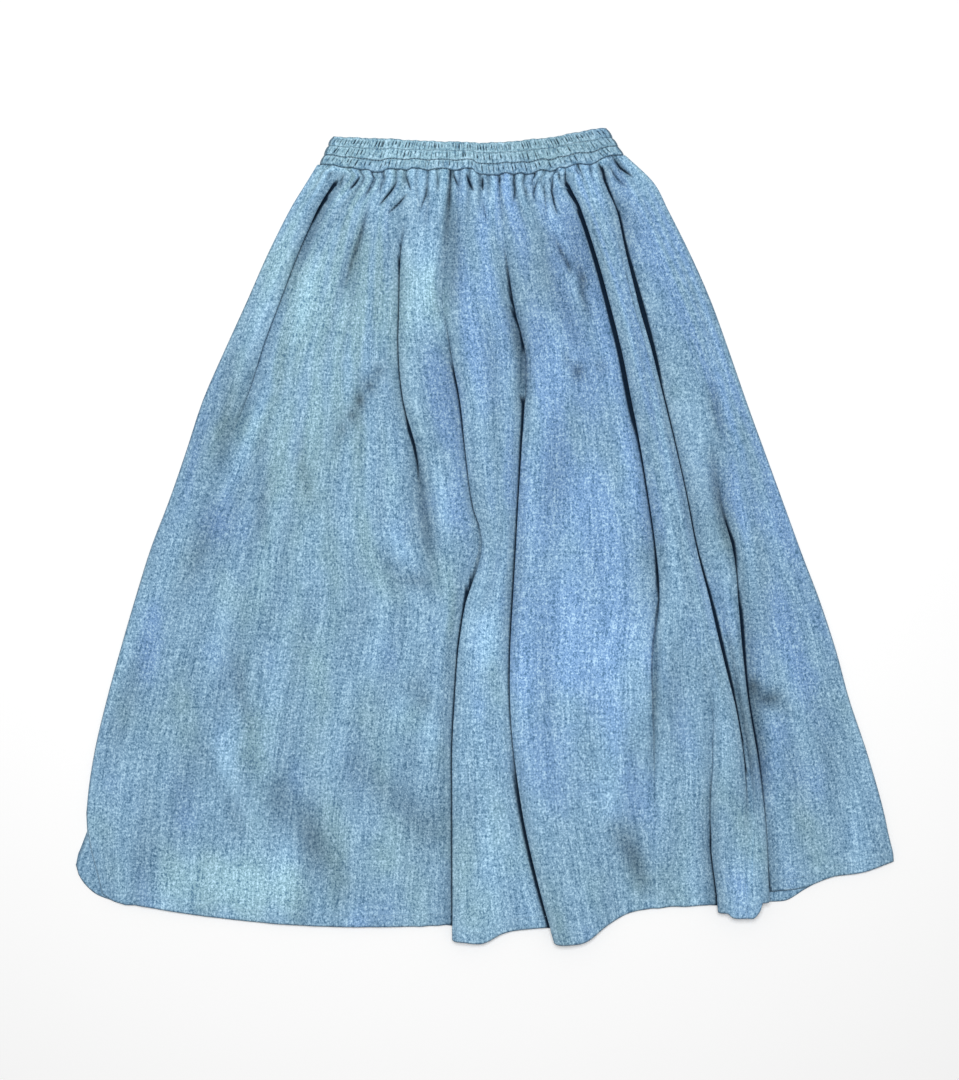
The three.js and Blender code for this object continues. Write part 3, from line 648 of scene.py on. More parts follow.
def wash_and_light_patches(x: np.ndarray, y: np.ndarray, column: np.ndarray) -> tuple[np.ndarray, np.ndarray]:
    """Add up the cloth's patches of wash and of painted light and shade.

    Args:
        x: how far across the points are.
        y: how far up they are.
        column: their columns, numbered by the places.

    Returns:
        The wash's tone at each point, and a shade that is partly the wash and partly painted light and
        shade.
    """
    tone, shade = np.zeros(x.shape), np.zeros(x.shape)
    for patch in PATCHES:
        weight = patch.weight(x, y, column)
        tone += patch.tone * weight
        shade += patch.shade * weight
    return tone, shade


@dataclass
class FoldState:
    """A place of the front's sections, row by row, with the state of its fold if it has one."""

    x: np.ndarray
    y: np.ndarray
    fold: Union[Fold, None] = None
    spread: Number = 0.0
    lap: Number = 0.0
    rise: Number = 0.0
    shut: Number = 0.0
    lie: Number = 0.0
    gap: Number = 0.0

    def at(self, turn: Number) -> tuple[np.ndarray, np.ndarray]:
        """Find where the cloth is at turns across the fold.

        Args:
            turn: turns from -1 on the fold's left to 1 on its right.

        Returns:
            How far across and how high the cloth is, by row and turn.
        """
        if self.fold is None:
            return self.x[:, None] + 0.0 * turn, np.zeros((len(self.x), 1)) + 0.0 * turn
        facing = self.fold.facing.value
        local = turn * facing
        opened = self.spread[:, None] * local
        shut = self.spread[:, None] * FOLD_PROFILE.curve("out", local)
        shut = shut + self.lap[:, None] * FOLD_PROFILE.curve("under", local)
        held_back = HELD_BACK * self.gap[:, None] * ease((local + 1.0) / HELD_BACK_TURN)
        across = facing * (mix(opened, shut, self.shut[:, None]) + held_back)
        height = self.lie[:, None] + self.rise[:, None] * FOLD_PROFILE.curve("height", local)
        return self.x[:, None] + across, height


@dataclass
class Panel:
    """What the front and the back panels share."""

    wall: float = 1.1
    hem_wall: float = 1.9
    hem_depth: float = 15.0
    hem_turn: float = 1.0
    seam_gap: float = 0.3
    length: float = 830.0
    seam_band: float = 72.0
    seam_crowding: float = 1.25
    scallop_run: float = 45.0
    hem_reach: float = 100.0
    hem_step: float = 2.0
    hem_clear: float = 3.0
    hem_rows: tuple[float, ...] = (15.8, 14.6, 13.0, 9.0, 5.0, 2.0, 1.0, 0.5, 0.13, 0.0)
    thinnest_square: float = 0.004
    grain_row: int = -14
    # Painted shade along the hem and the side edges: how dark, how wide, and its share on the sides
    edge_dark: float = 0.56
    edge_line: float = 2.2
    side_dark: float = 0.75
    hem_wear: float = 0.2
    hem_wear_at: float = 0.5
    hem_wear_width: float = 1.8
    side_wear: float = 0.3
    side_wear_width: float = 4.0

    def outline(self, below: np.ndarray, inward: np.ndarray) -> np.ndarray:
        """Find the painted shade along the hem and the side edges.

        Args:
            below: how far below the seam each row is.
            inward: how far in from the side edges each point is.

        Returns:
            How much painted shade each point has.
        """
        hem = bell((self.length - below) / self.edge_line)[:, None]
        side = bell(inward / self.edge_line)
        return self.edge_dark * np.maximum(hem, self.side_dark * side)

    def edge_wear(self, below: np.ndarray, inward: np.ndarray) -> tuple[np.ndarray, np.ndarray]:
        """Return how pale the hem and the side edges have faded with use, before either is clipped."""
        hem = bell((self.length - below - self.hem_wear_at) / self.hem_wear_width)[:, None]
        return self.hem_wear * hem, self.side_wear * bell(inward / self.side_wear_width)

    def up_panel(self, seam_x: np.ndarray, hem_y: np.ndarray, below: np.ndarray) -> np.ndarray:
        """Find how far up the panel's points are, from its scalloped seam to its hem.

        Args:
            seam_x: how far across each column meets the seam.
            hem_y: how far up each column ends.
            below: how far below the seam each row is.

        Returns:
            How far up each point is.
        """
        mean_top = seam_line().curve("y", seam_x)
        top = WAIST_SEAM.curve("y", seam_x) - self.seam_gap / 2.0
        scallop = (top - mean_top) * (1.0 - ease(below / self.scallop_run))[:, None]
        return mix(mean_top, hem_y, (below / self.length)[:, None]) + scallop

    def as_grid(self, below: np.ndarray, middle: list[np.ndarray], **looks: np.ndarray) -> Grid:
        """Put the parts of a panel's grid together.

        Args:
            below: how far below the seam each row is.
            middle: how far across, up and off the surface each point of the middle surface is.
            looks: the painted dark shade, the paleness from use with painted highlight, the tone, and the
                shade, which is painted light and shade with some of the wash, at each point.

        Returns:
            The rows of points, and by point the wall, the looks and the cloth's own grain.
        """
        x, y, _ = middle
        grain_x = np.broadcast_to(x[self.grain_row], x.shape)
        return {
            "middle": np.stack(middle, axis=-1),
            "wall": self.wall_at(below)[:, None] + np.zeros(x.shape),
            "grain": np.stack([grain_x, y, np.zeros(x.shape)], axis=-1) * MM,
            "below": below,
            **looks,
        }

    def build(self, name: str, grid: Grid) -> bpy.types.Object:
        """Make the panel's shell from its grid.

        Args:
            name: the object's name.
            grid: the panel's grid.

        Returns:
            The object, with layers at its upper side's points and then at its lower side's.
        """
        layers = {layer: np.tile(grid[layer].ravel(), 2) for layer in ("tone", "shade", "worn")}
        upper = grid["hollow"].ravel()
        layers["hollow"] = np.concatenate([upper, np.zeros(upper.shape)])
        layers["grain"] = np.tile(grid["grain"].reshape(-1, 3), (2, 1))
        shell = Shell(grid["middle"], grid["wall"])
        return make_object(name, shell.points(), shell.faces(), layers)

    def rows_below(self, gathered: int, even: int) -> np.ndarray:
        """Set out the rows from the seam to the hem.

        Args:
            gathered: how many rows the gathers have.
            even: how many rows the rest has.

        Returns:
            How far below the seam each row is.
        """
        top = self.seam_band * np.linspace(0.0, 1.0, gathered) ** self.seam_crowding
        middle = np.linspace(self.seam_band, self.length - self.hem_depth - self.hem_clear, even + 1)[1:]
        return np.concatenate([top, middle, self.length - np.array(self.hem_rows)])

    def wall_at(self, below: np.ndarray) -> np.ndarray:
        """Find the wall's thickness, with the turned-up hem and its rounded edge.

        Args:
            below: how far below the seam each row is.

        Returns:
            The thickness in each row.
        """
        turned = ease((below - self.length + self.hem_depth + self.hem_step / 2.0) / self.hem_step)
        from_edge = np.clip((below - self.length + self.hem_turn) / self.hem_turn, 0.0, 1.0)
        rounded = np.sqrt(np.maximum(1.0 - from_edge**2, self.thinnest_square))
        return mix(self.wall, self.hem_wall, turned) * rounded


def seam_line() -> Table:
    """Return the waist seam's mean line through the places where the sections meet it."""
    return Table(("x", "y"), tuple(
        (float(SECTIONS.curve(name, float(y))), float(y)) for name, y in SEAM_AT_PLACES.items()
    ))


@dataclass
class FrontPanel(Panel):
    """The front panel: folds down its length, gathers under the waist seam, and a turned-up hem."""

    stretch_columns: dict[str, int] = field(default_factory=lambda: {
        "left": 20, "hip": 106, "notch": 44, "strip": 48, "panel": 66, "groove": 28, "roll": 18,
        "long": 13, "last": 44,
    })
    fold_columns: int = 15
    crowding: float = 0.7
    fold_room: float = 0.4
    faded_spread: float = 0.4
    lap_per_spread: float = 0.62
    fold_takes_over: float = 3.0
    gather_half_width: float = 2.4
    gather_opening: float = 0.6
    # Painted shade in the gathers' valleys and painted light on their puffs, fading down from the seam
    gather_shade: float = 0.24
    gather_pale: float = 1.1
    gather_fade: float = 70.0
    # The painted dark line in the deepest gathers
    gather_dark: float = 0.42
    deepest_gather: float = 2.8
    darkest_gather: float = 1.3
    fine_gathers: int = 46
    fine_margin: float = 4.0
    fine_depths: tuple[float, float] = (0.5, 1.3)
    fine_runs: tuple[float, float] = (10.0, 34.0)
    fine_half_width: float = 1.3
    # How dark the painted line in a slit is
    slit_dark: float = 0.92
    streak_tone: float = 0.4
    tone_streak: float = 42.0
    tone_streak_pace: float = 0.25
    # Painted light and shade of soft lengthwise ripples in the drape
    streak_shade: float = 0.07
    shade_streak: float = 34.0
    shade_streak_pace: float = 0.2
    swell: float = 0.7
    swell_length: float = 120.0
    swell_run: float = 120.0
    rope: float = 0.35
    rope_length: float = 17.0
    rope_pace: float = 0.35
    rope_depth: float = 14.0
    rope_run: float = 8.0
    edge_roll: float = 9.0
    dip: float = 2.3
    full_rise: float = 7.0
    # The painted shade in the gap beside a fold: the gap that makes it darkest, how far it reaches, how
    # softly it ends, and where it stops under the fold
    full_gap: float = 1.8
    gap_reach: float = 0.45
    gap_soft: float = 0.2
    least_soft: float = 0.8
    gap_under: float = 0.5
    under_margin: float = 1.0
    hidden_from: float = -0.1
    hidden_turn: float = 0.4
    # Painted shadow beside a fold: wide on the side it covers, narrower on its upper side, and weaker where
    # the fold is open
    shadow_width: float = 11.0
    shadow_depth: float = 0.26
    open_shadow: float = 0.6
    edge_width: float = 8.0
    edge_depth: float = 0.24
    # Painted shade along the waist seam
    seam_shade: float = 0.55
    seam_width: float = 1.2
    stitch_wear: float = 0.35
    stitch_wear_width: float = 1.6
    # A painted highlight along the ridges of the cloth as it lies
    ridge_gain: float = 2.0
    ridge_highlight: float = 0.5
    gathered_rows: int = 34
    even_rows: int = 45

    def state(self, index: int, down: np.ndarray) -> FoldState:
        """Find a place, and its fold's state, in every row.

        Args:
            index: the place's number from the left.
            down: each row's share of the way down.

        Returns:
            The place in each row.
        """
        name = PLACES[index]
        y = mix(SEAM_AT_PLACES[name], FRONT_HEM[name][0], down)
        return FoldState(SECTIONS.curve(name, y), y, FOLDS.get(name))

    def states(self, down: np.ndarray) -> list[FoldState]:
        """Find every place in every row, with each fold's spread fitted to the room that it has.

        Args:
            down: each row's share of the way down.

        Returns:
            The places from the left. A fold that has faded out has a narrower spread.
        """
        states = [self.state(index, down) for index in range(len(PLACES))]
        for index in range(1, LAST_PLACE):
            here = states[index]
            room = np.minimum(here.x - states[index - 1].x, states[index + 1].x - here.x)
            for name in ("rise", "shut", "lie", "gap"):
                setattr(here, name, here.fold.course.steps(name, here.y))
            narrowed = mix(self.faded_spread, 1.0, self.risen(here))
            here.spread = np.minimum(here.fold.spread, room * self.fold_room) * narrowed
            here.lap = np.minimum(here.fold.lap, here.spread * self.lap_per_spread)
        return states

    def risen(self, place: FoldState) -> np.ndarray:
        """Return how far a place's fold has taken over from the cloth around it, from 0 to 1."""
        return np.clip(place.rise / self.fold_takes_over, 0.0, 1.0)

    def shares(self, start: int) -> np.ndarray:
        """Find the columns of a stretch, closer together near its folds.

        Args:
            start: the number of the place on the stretch's left.

        Returns:
            The columns as shares of its width, with the skirt's own side edges at the two ends.
        """
        count = self.stretch_columns[PLACES[start]]
        first = 0 if start == 0 else 1
        after = count + (2 if start == LAST_PLACE - 1 else 1)
        even = np.arange(first, after) / (count + 1)
        return even - self.crowding * np.sin(2.0 * math.pi * even) / (2.0 * math.pi)

    def stretch(self, start: FoldState, end: FoldState, share: np.ndarray) -> tuple[np.ndarray, ...]:
        """Lay out the cloth between two places.

        Args:
            start: the place on the left.
            end: the place on the right.
            share: the columns, as shares of the way between them.

        Returns:
            How far across the columns are, a lift of nothing, how much painted shade darkens the gap beside
            a fold, and how dark its painted shadow is.
        """
        from_x, _ = start.at(np.array([1.0]))
        to_x, _ = end.at(np.array([-1.0]))
        x = mix(from_x, to_x, share)
        hollow = np.maximum(self.hollow(start, x), self.hollow(end, x))
        return x, np.zeros(x.shape), hollow, self.shadow(start, x) + self.shadow(end, x)

    def room(self, states: list[FoldState], index: int, side: int) -> np.ndarray:
        """Find how far a fold's lift can reach on one side: to the next fold that has risen.

        Args:
            states: the places in each row.
            index: the fold's number.
            side: 1 for its right side and -1 for its left.

        Returns:
            The reach in each row.
        """
        edge, _ = states[index].at(np.array([float(side)]))
        beside = states[index + side]
        near, _ = beside.at(np.array([-float(side)]))
        if beside.fold is None:
            return side * (near - edge)
        far, _ = states[index + 2 * side].at(np.array([-float(side)]))
        return side * (mix(far, near, self.risen(beside)[:, None]) - edge)

    def beside_folds(self, states: list[FoldState], x: np.ndarray) -> np.ndarray:
        """Find how far the folds lift the cloth on both their sides, fading with the distance.

        Args:
            states: the places in each row.
            x: how far across each point is.

        Returns:
            The lift at each point, no more than the highest fold's own.
        """
        total, highest = np.zeros(x.shape), np.zeros(x.shape)
        for index in range(1, LAST_PLACE):
            for side in (-1, 1):
                edge, lift = states[index].at(np.array([float(side)]))
                away = side * (x - edge)
                run = np.minimum(states[index].fold.reach, self.room(states, index, side))
                reached = (away > 0.0) & (away < run)
                total += np.where(reached, lift * (1.0 - ease(away / run)), 0.0)
                highest = np.maximum(highest, np.where(reached, lift, 0.0))
        return np.minimum(total, highest)

    def hollow(self, place: FoldState, x: np.ndarray) -> np.ndarray:
        """Find how much painted shade darkens the cloth in the gap on a fold's lower side.

        Args:
            place: the fold's place.
            x: how far across each point is.

        Returns:
            The painted shade at each point, and nothing at a place that has no fold.
        """
        if place.fold is None:
            return np.zeros(x.shape)
        away = place.fold.facing.value * (place.x[:, None] - x)
        gap = place.gap[:, None]
        near = 1.0 - ease((away - self.gap_reach * gap) / (self.gap_soft * gap + self.least_soft))
        strength = np.clip(gap / self.full_gap, 0.0, 1.0)
        under = -place.lap[:, None] - self.gap_under * gap - self.under_margin
        return np.where(away > under, near * strength, 0.0)

    def shadow(self, place: FoldState, x: np.ndarray) -> np.ndarray:
        """Find the painted shadow beside a fold, darker on the side that it covers.

        Args:
            place: the fold's place.
            x: how far across each point is.

        Returns:
            The shade at each point, and nothing at a place that has no fold.
        """
        if place.fold is None:
            return np.zeros(x.shape)
        away = place.fold.facing.value * (place.x[:, None] - x)
        strength = np.clip(place.rise / self.full_rise, 0.0, 1.0) * mix(self.open_shadow, 1.0, place.shut)
        covered = self.shadow_depth * bell(away / self.shadow_width)
        upper = self.edge_depth * bell(away / self.edge_width)
        return -strength[:, None] * np.where(away > 0.0, covered, upper)

    def lowest(self, below: np.ndarray) -> np.ndarray:
        """Return the lowest that the middle surface lies, on the back and on the back's thicker hem."""
        near_hem = ease((below - self.length + self.hem_reach) / (self.hem_reach / 2.0))
        return mix(self.wall, self.hem_wall, near_hem) + self.seam_gap + self.wall_at(below) / 2.0

    def grid(self) -> Grid:
        """Lay out the middle surface.

        Returns:
            Its rows of points, and by point the wall, the looks and the cloth's own grain.
        """
        below = self.rows_below(self.gathered_rows, self.even_rows)
        states = self.states(below / self.length)
        blocks, hem, columns, taken_over = [], [], [], []
        turns = np.linspace(-1.0, 1.0, self.fold_columns)
        for index in range(LAST_PLACE):
            if index > 0:
                fold_x, fold_lift = states[index].at(turns)
                local = turns * states[index].fold.facing.value
                shown = ease((local - self.hidden_from) / self.hidden_turn)
                # Painted shade on the lower layer where the fold hides it
                hidden = self.hollow(states[index], fold_x) * (1.0 - shown)
                blocks.append((fold_x, fold_lift, hidden, self.shadow(states[index], fold_x)))
                columns.append(index + FOLD_HALF * turns)
                before, here = FRONT_HEM[PLACES[index - 1]][-1], FRONT_HEM[PLACES[index]][0]
                hem.append(mix(before, here, ease((turns + 1.0) / 2.0)))
                taken_over.append(self.risen(states[index])[:, None] + 0.0 * turns)
            share = self.shares(index)
            blocks.append(self.stretch(states[index], states[index + 1], share))
            columns.append(index + FOLD_HALF + (1.0 - 2.0 * FOLD_HALF) * share)
            stretch_hem = Table(("share", "y"), tuple(zip(HEM_SHARES, FRONT_HEM[PLACES[index]])))
            hem.append(stretch_hem.curve("y", share))
            taken_over.append(np.zeros((len(below), len(share))))
        x, lift, hollow, shade = (
            np.concatenate([block[part] for block in blocks], axis=1) for part in range(4)
        )
        lift = np.maximum(lift, self.beside_folds(states, x))
        hem_y = np.concatenate(hem)
        gather_share = 1.0 - np.concatenate(taken_over, axis=1)
        column = np.broadcast_to(np.concatenate(columns), x.shape)
        return self.finish_grid(below, x, lift, hollow, shade, column, hem_y, gather_share, states)

    def finish_grid(
        self, below: np.ndarray, x: np.ndarray, lift: np.ndarray, hollow: np.ndarray, shade: np.ndarray,
        column: np.ndarray, hem_y: np.ndarray, gather_share: np.ndarray, states: list[FoldState],
    ) -> Grid:
        """Give the laid-out columns their heights.

        Args:
            below: how far below the seam each row is.
            x: how far across each point is.
            lift: how high the folds lift it.
            hollow: how much painted shade darkens it in the gap beside a fold.
            shade: how dark the painted shadow beside a fold is there.
            column: its column, with place number 1 at 1 and so on.
            hem_y: the hem's height at each column.
            gather_share: how much of the gathers each point has.
            states: the places in each row.

        Returns:
            The same as grid.
        """
        y = self.up_panel(x[0], hem_y, below)
        gathers = self.gathers(x[0], below) * gather_share
        creases = np.zeros(x.shape)
        # Each crease adds painted light and shade, and each slit a painted dark line
        for crease in (*CREASES, *SLITS):
            height, paler, dark = crease.over(x, y)
            creases += height
            shade = shade + paler
            hollow = np.maximum(hollow, self.slit_dark * dark)
        # The patches' shade is partly the wash and partly painted light and shade
        tone, wash = wash_and_light_patches(x, y, column)
        grain_x = np.broadcast_to(x[self.grain_row], x.shape)
        tone_streaks = Waves(Draw.TONE_STREAKS, self.tone_streak).at(grain_x, self.tone_streak_pace * y)
        # Painted light and shade of soft lengthwise ripples in the drape
        shade_streaks = Waves(Draw.SHADE_STREAKS, self.shade_streak).at(grain_x, self.shade_streak_pace * y)
        tone = tone + self.streak_tone * tone_streaks
        shade = shade + wash + self.streak_shade * shade_streaks
        # Painted light on the puffs under the seam, and painted shade in the gathers' valleys
        paler = self.gather_pale * gather_share * (1.0 - ease(below / self.gather_fade))[:, None]
        shade = shade + self.gather_shade * (gathers + paler)
        # Painted shade along the waist seam
        hollow = np.maximum(hollow, self.seam_shade * bell(below / self.seam_width)[:, None])
        # A painted dark line in the deepest gathers
        depth = np.clip(-gathers / self.deepest_gather, 0.0, self.darkest_gather)
        hollow = np.maximum(hollow, self.gather_dark * depth**2)
        height = lift + creases + self.unevenness(x, y, below) + gathers - self.dip * hollow
        inward = np.minimum(x - states[0].x[:, None], states[-1].x[:, None] - x)
        rounding = np.clip(inward / self.edge_roll, 0.0, 1.0)
        rounding = np.sqrt(1.0 - (1.0 - rounding) ** 2)
        lowest = self.lowest(below)[:, None]
        z = mix(lowest, np.maximum(lowest, height), rounding)
        worn = self.worn(below, z, inward)
        # Painted shade along the hem and the side edges
        hollow = np.maximum(hollow, self.outline(below, inward))
        return self.as_grid(below, [x, y, z], hollow=hollow, worn=worn, tone=tone, shade=shade)

    def unevenness(self, x: np.ndarray, y: np.ndarray, below: np.ndarray) -> np.ndarray:
        """Find how high the cloth lies apart from its folds, gathers and creases.

        Args:
            x: how far across each point is.
            y: how far up each point is.
            below: how far below the seam each row is.

        Returns:
            The middle layer's own level with its long swells, and the small ropes of the sewn hem.
        """
        swell = self.swell * Waves(Draw.SWELL, self.swell_length).at(x, y)
        rope = self.rope * Waves(Draw.HEM_ROPE, self.rope_length).at(x, self.rope_pace * y)
        in_hem = ease((below - self.length + self.rope_depth) / self.rope_run)[:, None]
        level = FRONT_LEVEL.curve("level", below)[:, None]
        return level + swell * ease(below / self.swell_run)[:, None] + rope * in_hem

    def gathers(self, seam_x: np.ndarray, below: np.ndarray) -> np.ndarray:
        """Find how far the valleys between gathers sink the cloth.

        Args:
            seam_x: how far across each column meets the seam.
            below: how far below the seam each row is.

        Returns:
            The height that they add at each point, which is never above 0.
        """
        down = below[:, None]
        total = np.zeros((len(below), len(seam_x)))
        for place, depth, run in GATHERS:
            width = self.gather_half_width * (1.0 + self.gather_opening * ease(down / run))
            total -= depth * bell((seam_x - place) / width) * (1.0 - ease(down / run))
        draw = np.random.default_rng(Draw.FINE_GATHERS)
        first, last = seam_x[0] + self.fine_margin, seam_x[-1] - self.fine_margin
        for place in np.sort(draw.uniform(first, last, self.fine_gathers)):
            depth, run = draw.uniform(*self.fine_depths), draw.uniform(*self.fine_runs)
            total -= depth * bell((seam_x - place) / self.fine_half_width) * (1.0 - ease(down / run))
        return total

    def worn(self, below: np.ndarray, z: np.ndarray, inward: np.ndarray) -> np.ndarray:
        """Find how pale each point is: faded with use along the hem, its stitches and the side edges, and
        with a painted highlight along the ridges.

        Args:
            below: how far below the seam each row is.
            z: how high each point is.
            inward: how far in from the side edges each point is.

        Returns:
            The paleness from use and the painted highlight at each point.
        """
        hem, side = self.edge_wear(below, inward)
        above_stitches = self.length - below - self.hem_depth
        stitched = self.stitch_wear * bell(above_stitches / self.stitch_wear_width)[:, None]
        across = np.gradient(z, axis=1)
        ridge = np.clip(-np.gradient(across, axis=1) * self.ridge_gain, 0.0, 1.0)
        return np.clip(hem + stitched + side + self.ridge_highlight * ridge, 0.0, 1.0)


@dataclass
class BackPanel(Panel):
    """The back panel, flat on the surface, with gathers under its waist seam."""

    columns: int = 300
    gathered_rows: int = 18
    even_rows: int = 34
    gathers: int = 30
    gather_depth: float = 2.2
    gather_run: float = 60.0
    gather_half_width: float = 2.6
    place_change: float = 0.22
    depth_change: float = 0.2
    run_change: float = 25.0
    change_paces: tuple[float, float, float] = (2.4, 1.7, 3.1)
    # Soft ridges on the back, each with a little painted shade along it
    creases: tuple[Crease, ...] = (
        Crease(((-60, 250), (-95, 80), (-120, -90)), 16, 1.1, -0.1),
        Crease(((60, 210), (84, 20), (96, -160)), 14, 1.1, -0.1),
        Crease(((-190, 120), (-262, -60), (-300, -190)), 18, 0.9, -0.1),
        Crease(((-10, 60), (-2, -110), (-10, -240)), 15, 1.0, -0.1),
        Crease(((150, 240), (222, 60), (262, -60)), 16, 1.0, -0.1),
        Crease(((-150, -90), (-172, -200), (-185, -290)), 17, 0.8, -0.1),
    )

    def grid(self) -> Grid:
        """Lay out the middle surface.

        Returns:
            Its rows of points, and by point the wall, the looks and the cloth's own grain.
        """
        below = self.rows_below(self.gathered_rows, self.even_rows)
        down = (below / self.length)[:, None]
        across = np.linspace(0.0, 1.0, self.columns)
        seam = seam_line()
        seam_x = mix(seam.key[0], seam.key[-1], across)
        hem_y = BACK_HEM.curve("y", mix(BACK_HEM.key[0], BACK_HEM.key[-1], across))
        y = self.up_panel(seam_x, hem_y, below)
        left_y = mix(seam.column["y"][0], BACK_HEM.column["y"][0], down)
        right_y = mix(seam.column["y"][-1], BACK_HEM.column["y"][-1], down)
        x = mix(SECTIONS.curve("back_left", left_y), SECTIONS.curve("right", right_y), across)
        lift = self.lifts(seam_x, below)
        inward = np.minimum(x - x[:, :1], x[:, -1:] - x)
        tone, shade = wash_and_light_patches(x, y, np.broadcast_to(mix(FOLD_HALF, LAST_PLACE - FOLD_HALF, across), x.shape))
        for crease in self.creases:
            height, paler, _ = crease.over(x, y)
            lift = lift + height
            shade = shade + paler
        z = self.wall_at(below)[:, None] / 2.0 + lift
        hem, side = self.edge_wear(below, inward)
        worn = np.clip(hem + side, 0.0, 1.0)
        # Painted shade along the hem and the side edges
        hollow = self.outline(below, inward)
        return self.as_grid(below, [x, y, z], hollow=hollow, worn=worn, tone=tone, shade=shade)

    def lifts(self, seam_x: np.ndarray, below: np.ndarray) -> np.ndarray:
        """Find how far the valleys between gathers are lifted off the surface.

        Args:
            seam_x: how far across each column meets the seam.
            below: how far below the seam each row is.

        Returns:
            The lift at each point.
        """
        down = below[:, None]
        total = np.zeros((len(below), len(seam_x)))
        for index in range(self.gathers):
            shift, deeper, longer = (math.sin(index * pace) for pace in self.change_paces)
            share = (index + 1 + self.place_change * shift) / (self.gathers + 1)
            place = mix(seam_x[0], seam_x[-1], share)
            depth = self.gather_depth * (1.0 - self.depth_change + self.depth_change * deeper)
            run = self.gather_run + self.run_change * longer
            total += depth * bell((seam_x - place) / self.gather_half_width) * (1.0 - ease(down / run))
        return total


@dataclass
class Waistband:
    """The shirred waistband: a flattened ring of puckered channels parted by rows of stitching."""

    wall: float = 3.0
    puff: tuple[float, float, float] = (1.0, 1.5, 1.4)
    slit: float = 0.8
    channels: int = 3
    half: float = 5.0
    row_places: tuple[float, ...] = (0.0, 0.34, 0.69, 1.0)
    # Painted shade along the waist seam and the stitch rows, in the pucker valleys, and round the top edge
    # and the ends
    row_shades: tuple[float, ...] = (0.5, 0.75, 0.5)
    pucker_dark: float = 0.88
    edge_dark: float = 0.5
    ripple: float = 0.45
    ripple_length: float = 6.0
    pucker_pitch: tuple[float, ...] = (5.6, 4.6, 3.4)
    pucker_shift: float = 0.3
    pucker_depths: tuple[float, float] = (0.45, 1.0)
    pucker_widths: tuple[float, float] = (0.65, 1.05)
    pucker_slants: tuple[float, float] = (-2.4, 2.6)
    slant_change: float = 0.8
    pucker_starts: tuple[float, float] = (-0.3, 0.3)
    pucker_ends: tuple[float, float] = (0.75, 1.3)
    pucker_fade: float = 0.25
    bottom_left: float = -182.0
    top_left: float = -168.0
    bottom_right: float = 156.0
    top_right: float = 138.0
    stations: int = 640
    end_steps: int = 9
    rows_per_channel: int = 8
    cap_rows: int = 4
    inner_rows: int = 5
    edge_round: float = 1.1
    seam_gap: float = 0.15
    pinch: float = 0.35
    roundness: float = 0.65
    channel_swell: float = 0.25
    channel_swell_length: float = 14.0
    channel_swell_pace: float = 9.0
    waves: int = 4
    # The puffs' tops are paler, partly from use and partly as a painted highlight: how high a puff is when
    # palest, and how strong that is
    worn_puff: float = 1.6
    wear_and_highlight_share: float = 0.55
    stitch_points: int = 400
    stitch_ends: tuple[float, float] = (0.01, 0.99)
    stitch_sink: float = 0.25

    def ring(self) -> np.ndarray:
        """Set out stations round the ring.

        Returns:
            Each station's share across, how far outward and upward it faces, and 1 on the front, -1 on
            the back or 0 at the two ends.
        """
        front = np.linspace(0.0, 1.0, self.stations)
        angles = np.linspace(0.0, math.pi, self.end_steps + 2)[1:-1]
        rows = [(share, 0.0, 1.0, 1.0) for share in front]
        rows += [(1.0, math.sin(angle), math.cos(angle), 0.0) for angle in angles]
        rows += [(share, 0.0, -1.0, -1.0) for share in front[::-1]]
        rows += [(0.0, -math.sin(angle), -math.cos(angle), 0.0) for angle in angles]
        return np.array(rows)

    def puckers(self, channel: int, side: int, across: np.ndarray, up: np.ndarray) -> np.ndarray:
        """Return how far the valleys between puckers cut into a channel.

        Args:
            channel: its number from the waist seam up.
            side: 1 for the front and -1 for the back.
            across: each station's distance along the band.
            up: each row's share of the way up the channel.

        Returns:
            The cut as a share of the channel's puff, by row and station.
        """
        draw = np.random.default_rng(Draw.PUCKERS + 10 * channel + side)
        pitch = self.pucker_pitch[channel]
        count = int((across.max() - across.min()) / pitch)
        cut = np.zeros((len(up), len(across)))
        for index in range(count):
            shift = draw.uniform(-self.pucker_shift, self.pucker_shift)
            place = across.min() + (index + 0.5 + shift) * pitch
            depth = draw.uniform(*self.pucker_depths)
            width = draw.uniform(*self.pucker_widths)
            slant = mix(*self.pucker_slants, place / across.max())
            slant += draw.uniform(-self.slant_change, self.slant_change)
            start, end = draw.uniform(*self.pucker_starts), draw.uniform(*self.pucker_ends)
            reach = ease((up - start) / self.pucker_fade) * (1.0 - ease((up - end) / self.pucker_fade))
            centre = place + slant * (0.5 - up)[:, None]
            cut = np.maximum(cut, depth * bell((across[None, :] - centre) / width) * reach[:, None])
        return cut

    def point(self, station: np.ndarray, height: Number, thickness: Number) -> np.ndarray:
        """Return a point of the band.

        Args:
            station: the ring's station: share across, outward and upward.
            height: its share of the way from the waist seam to the top edge.
            thickness: how far out from the band's inner face it is.

        Returns:
            The point.
        """
        left = mix(self.bottom_left, self.top_left, height) + self.half
        right = mix(self.bottom_right, self.top_right, height) - self.half
        away = self.slit / 2.0 + thickness
        x = mix(left, right, station[..., 0]) + station[..., 1] * away
        bottom = WAIST_SEAM.curve("y", x) + self.seam_gap
        ripples = Waves(Draw.BAND_TOP, self.ripple_length, self.waves)
        top = BAND_TOP.curve("y", x) + self.ripple * ripples.at(x, 0.0)
        z = self.half + station[..., 2] * away
        return np.stack([x, mix(bottom, top, height), z], axis=-1)

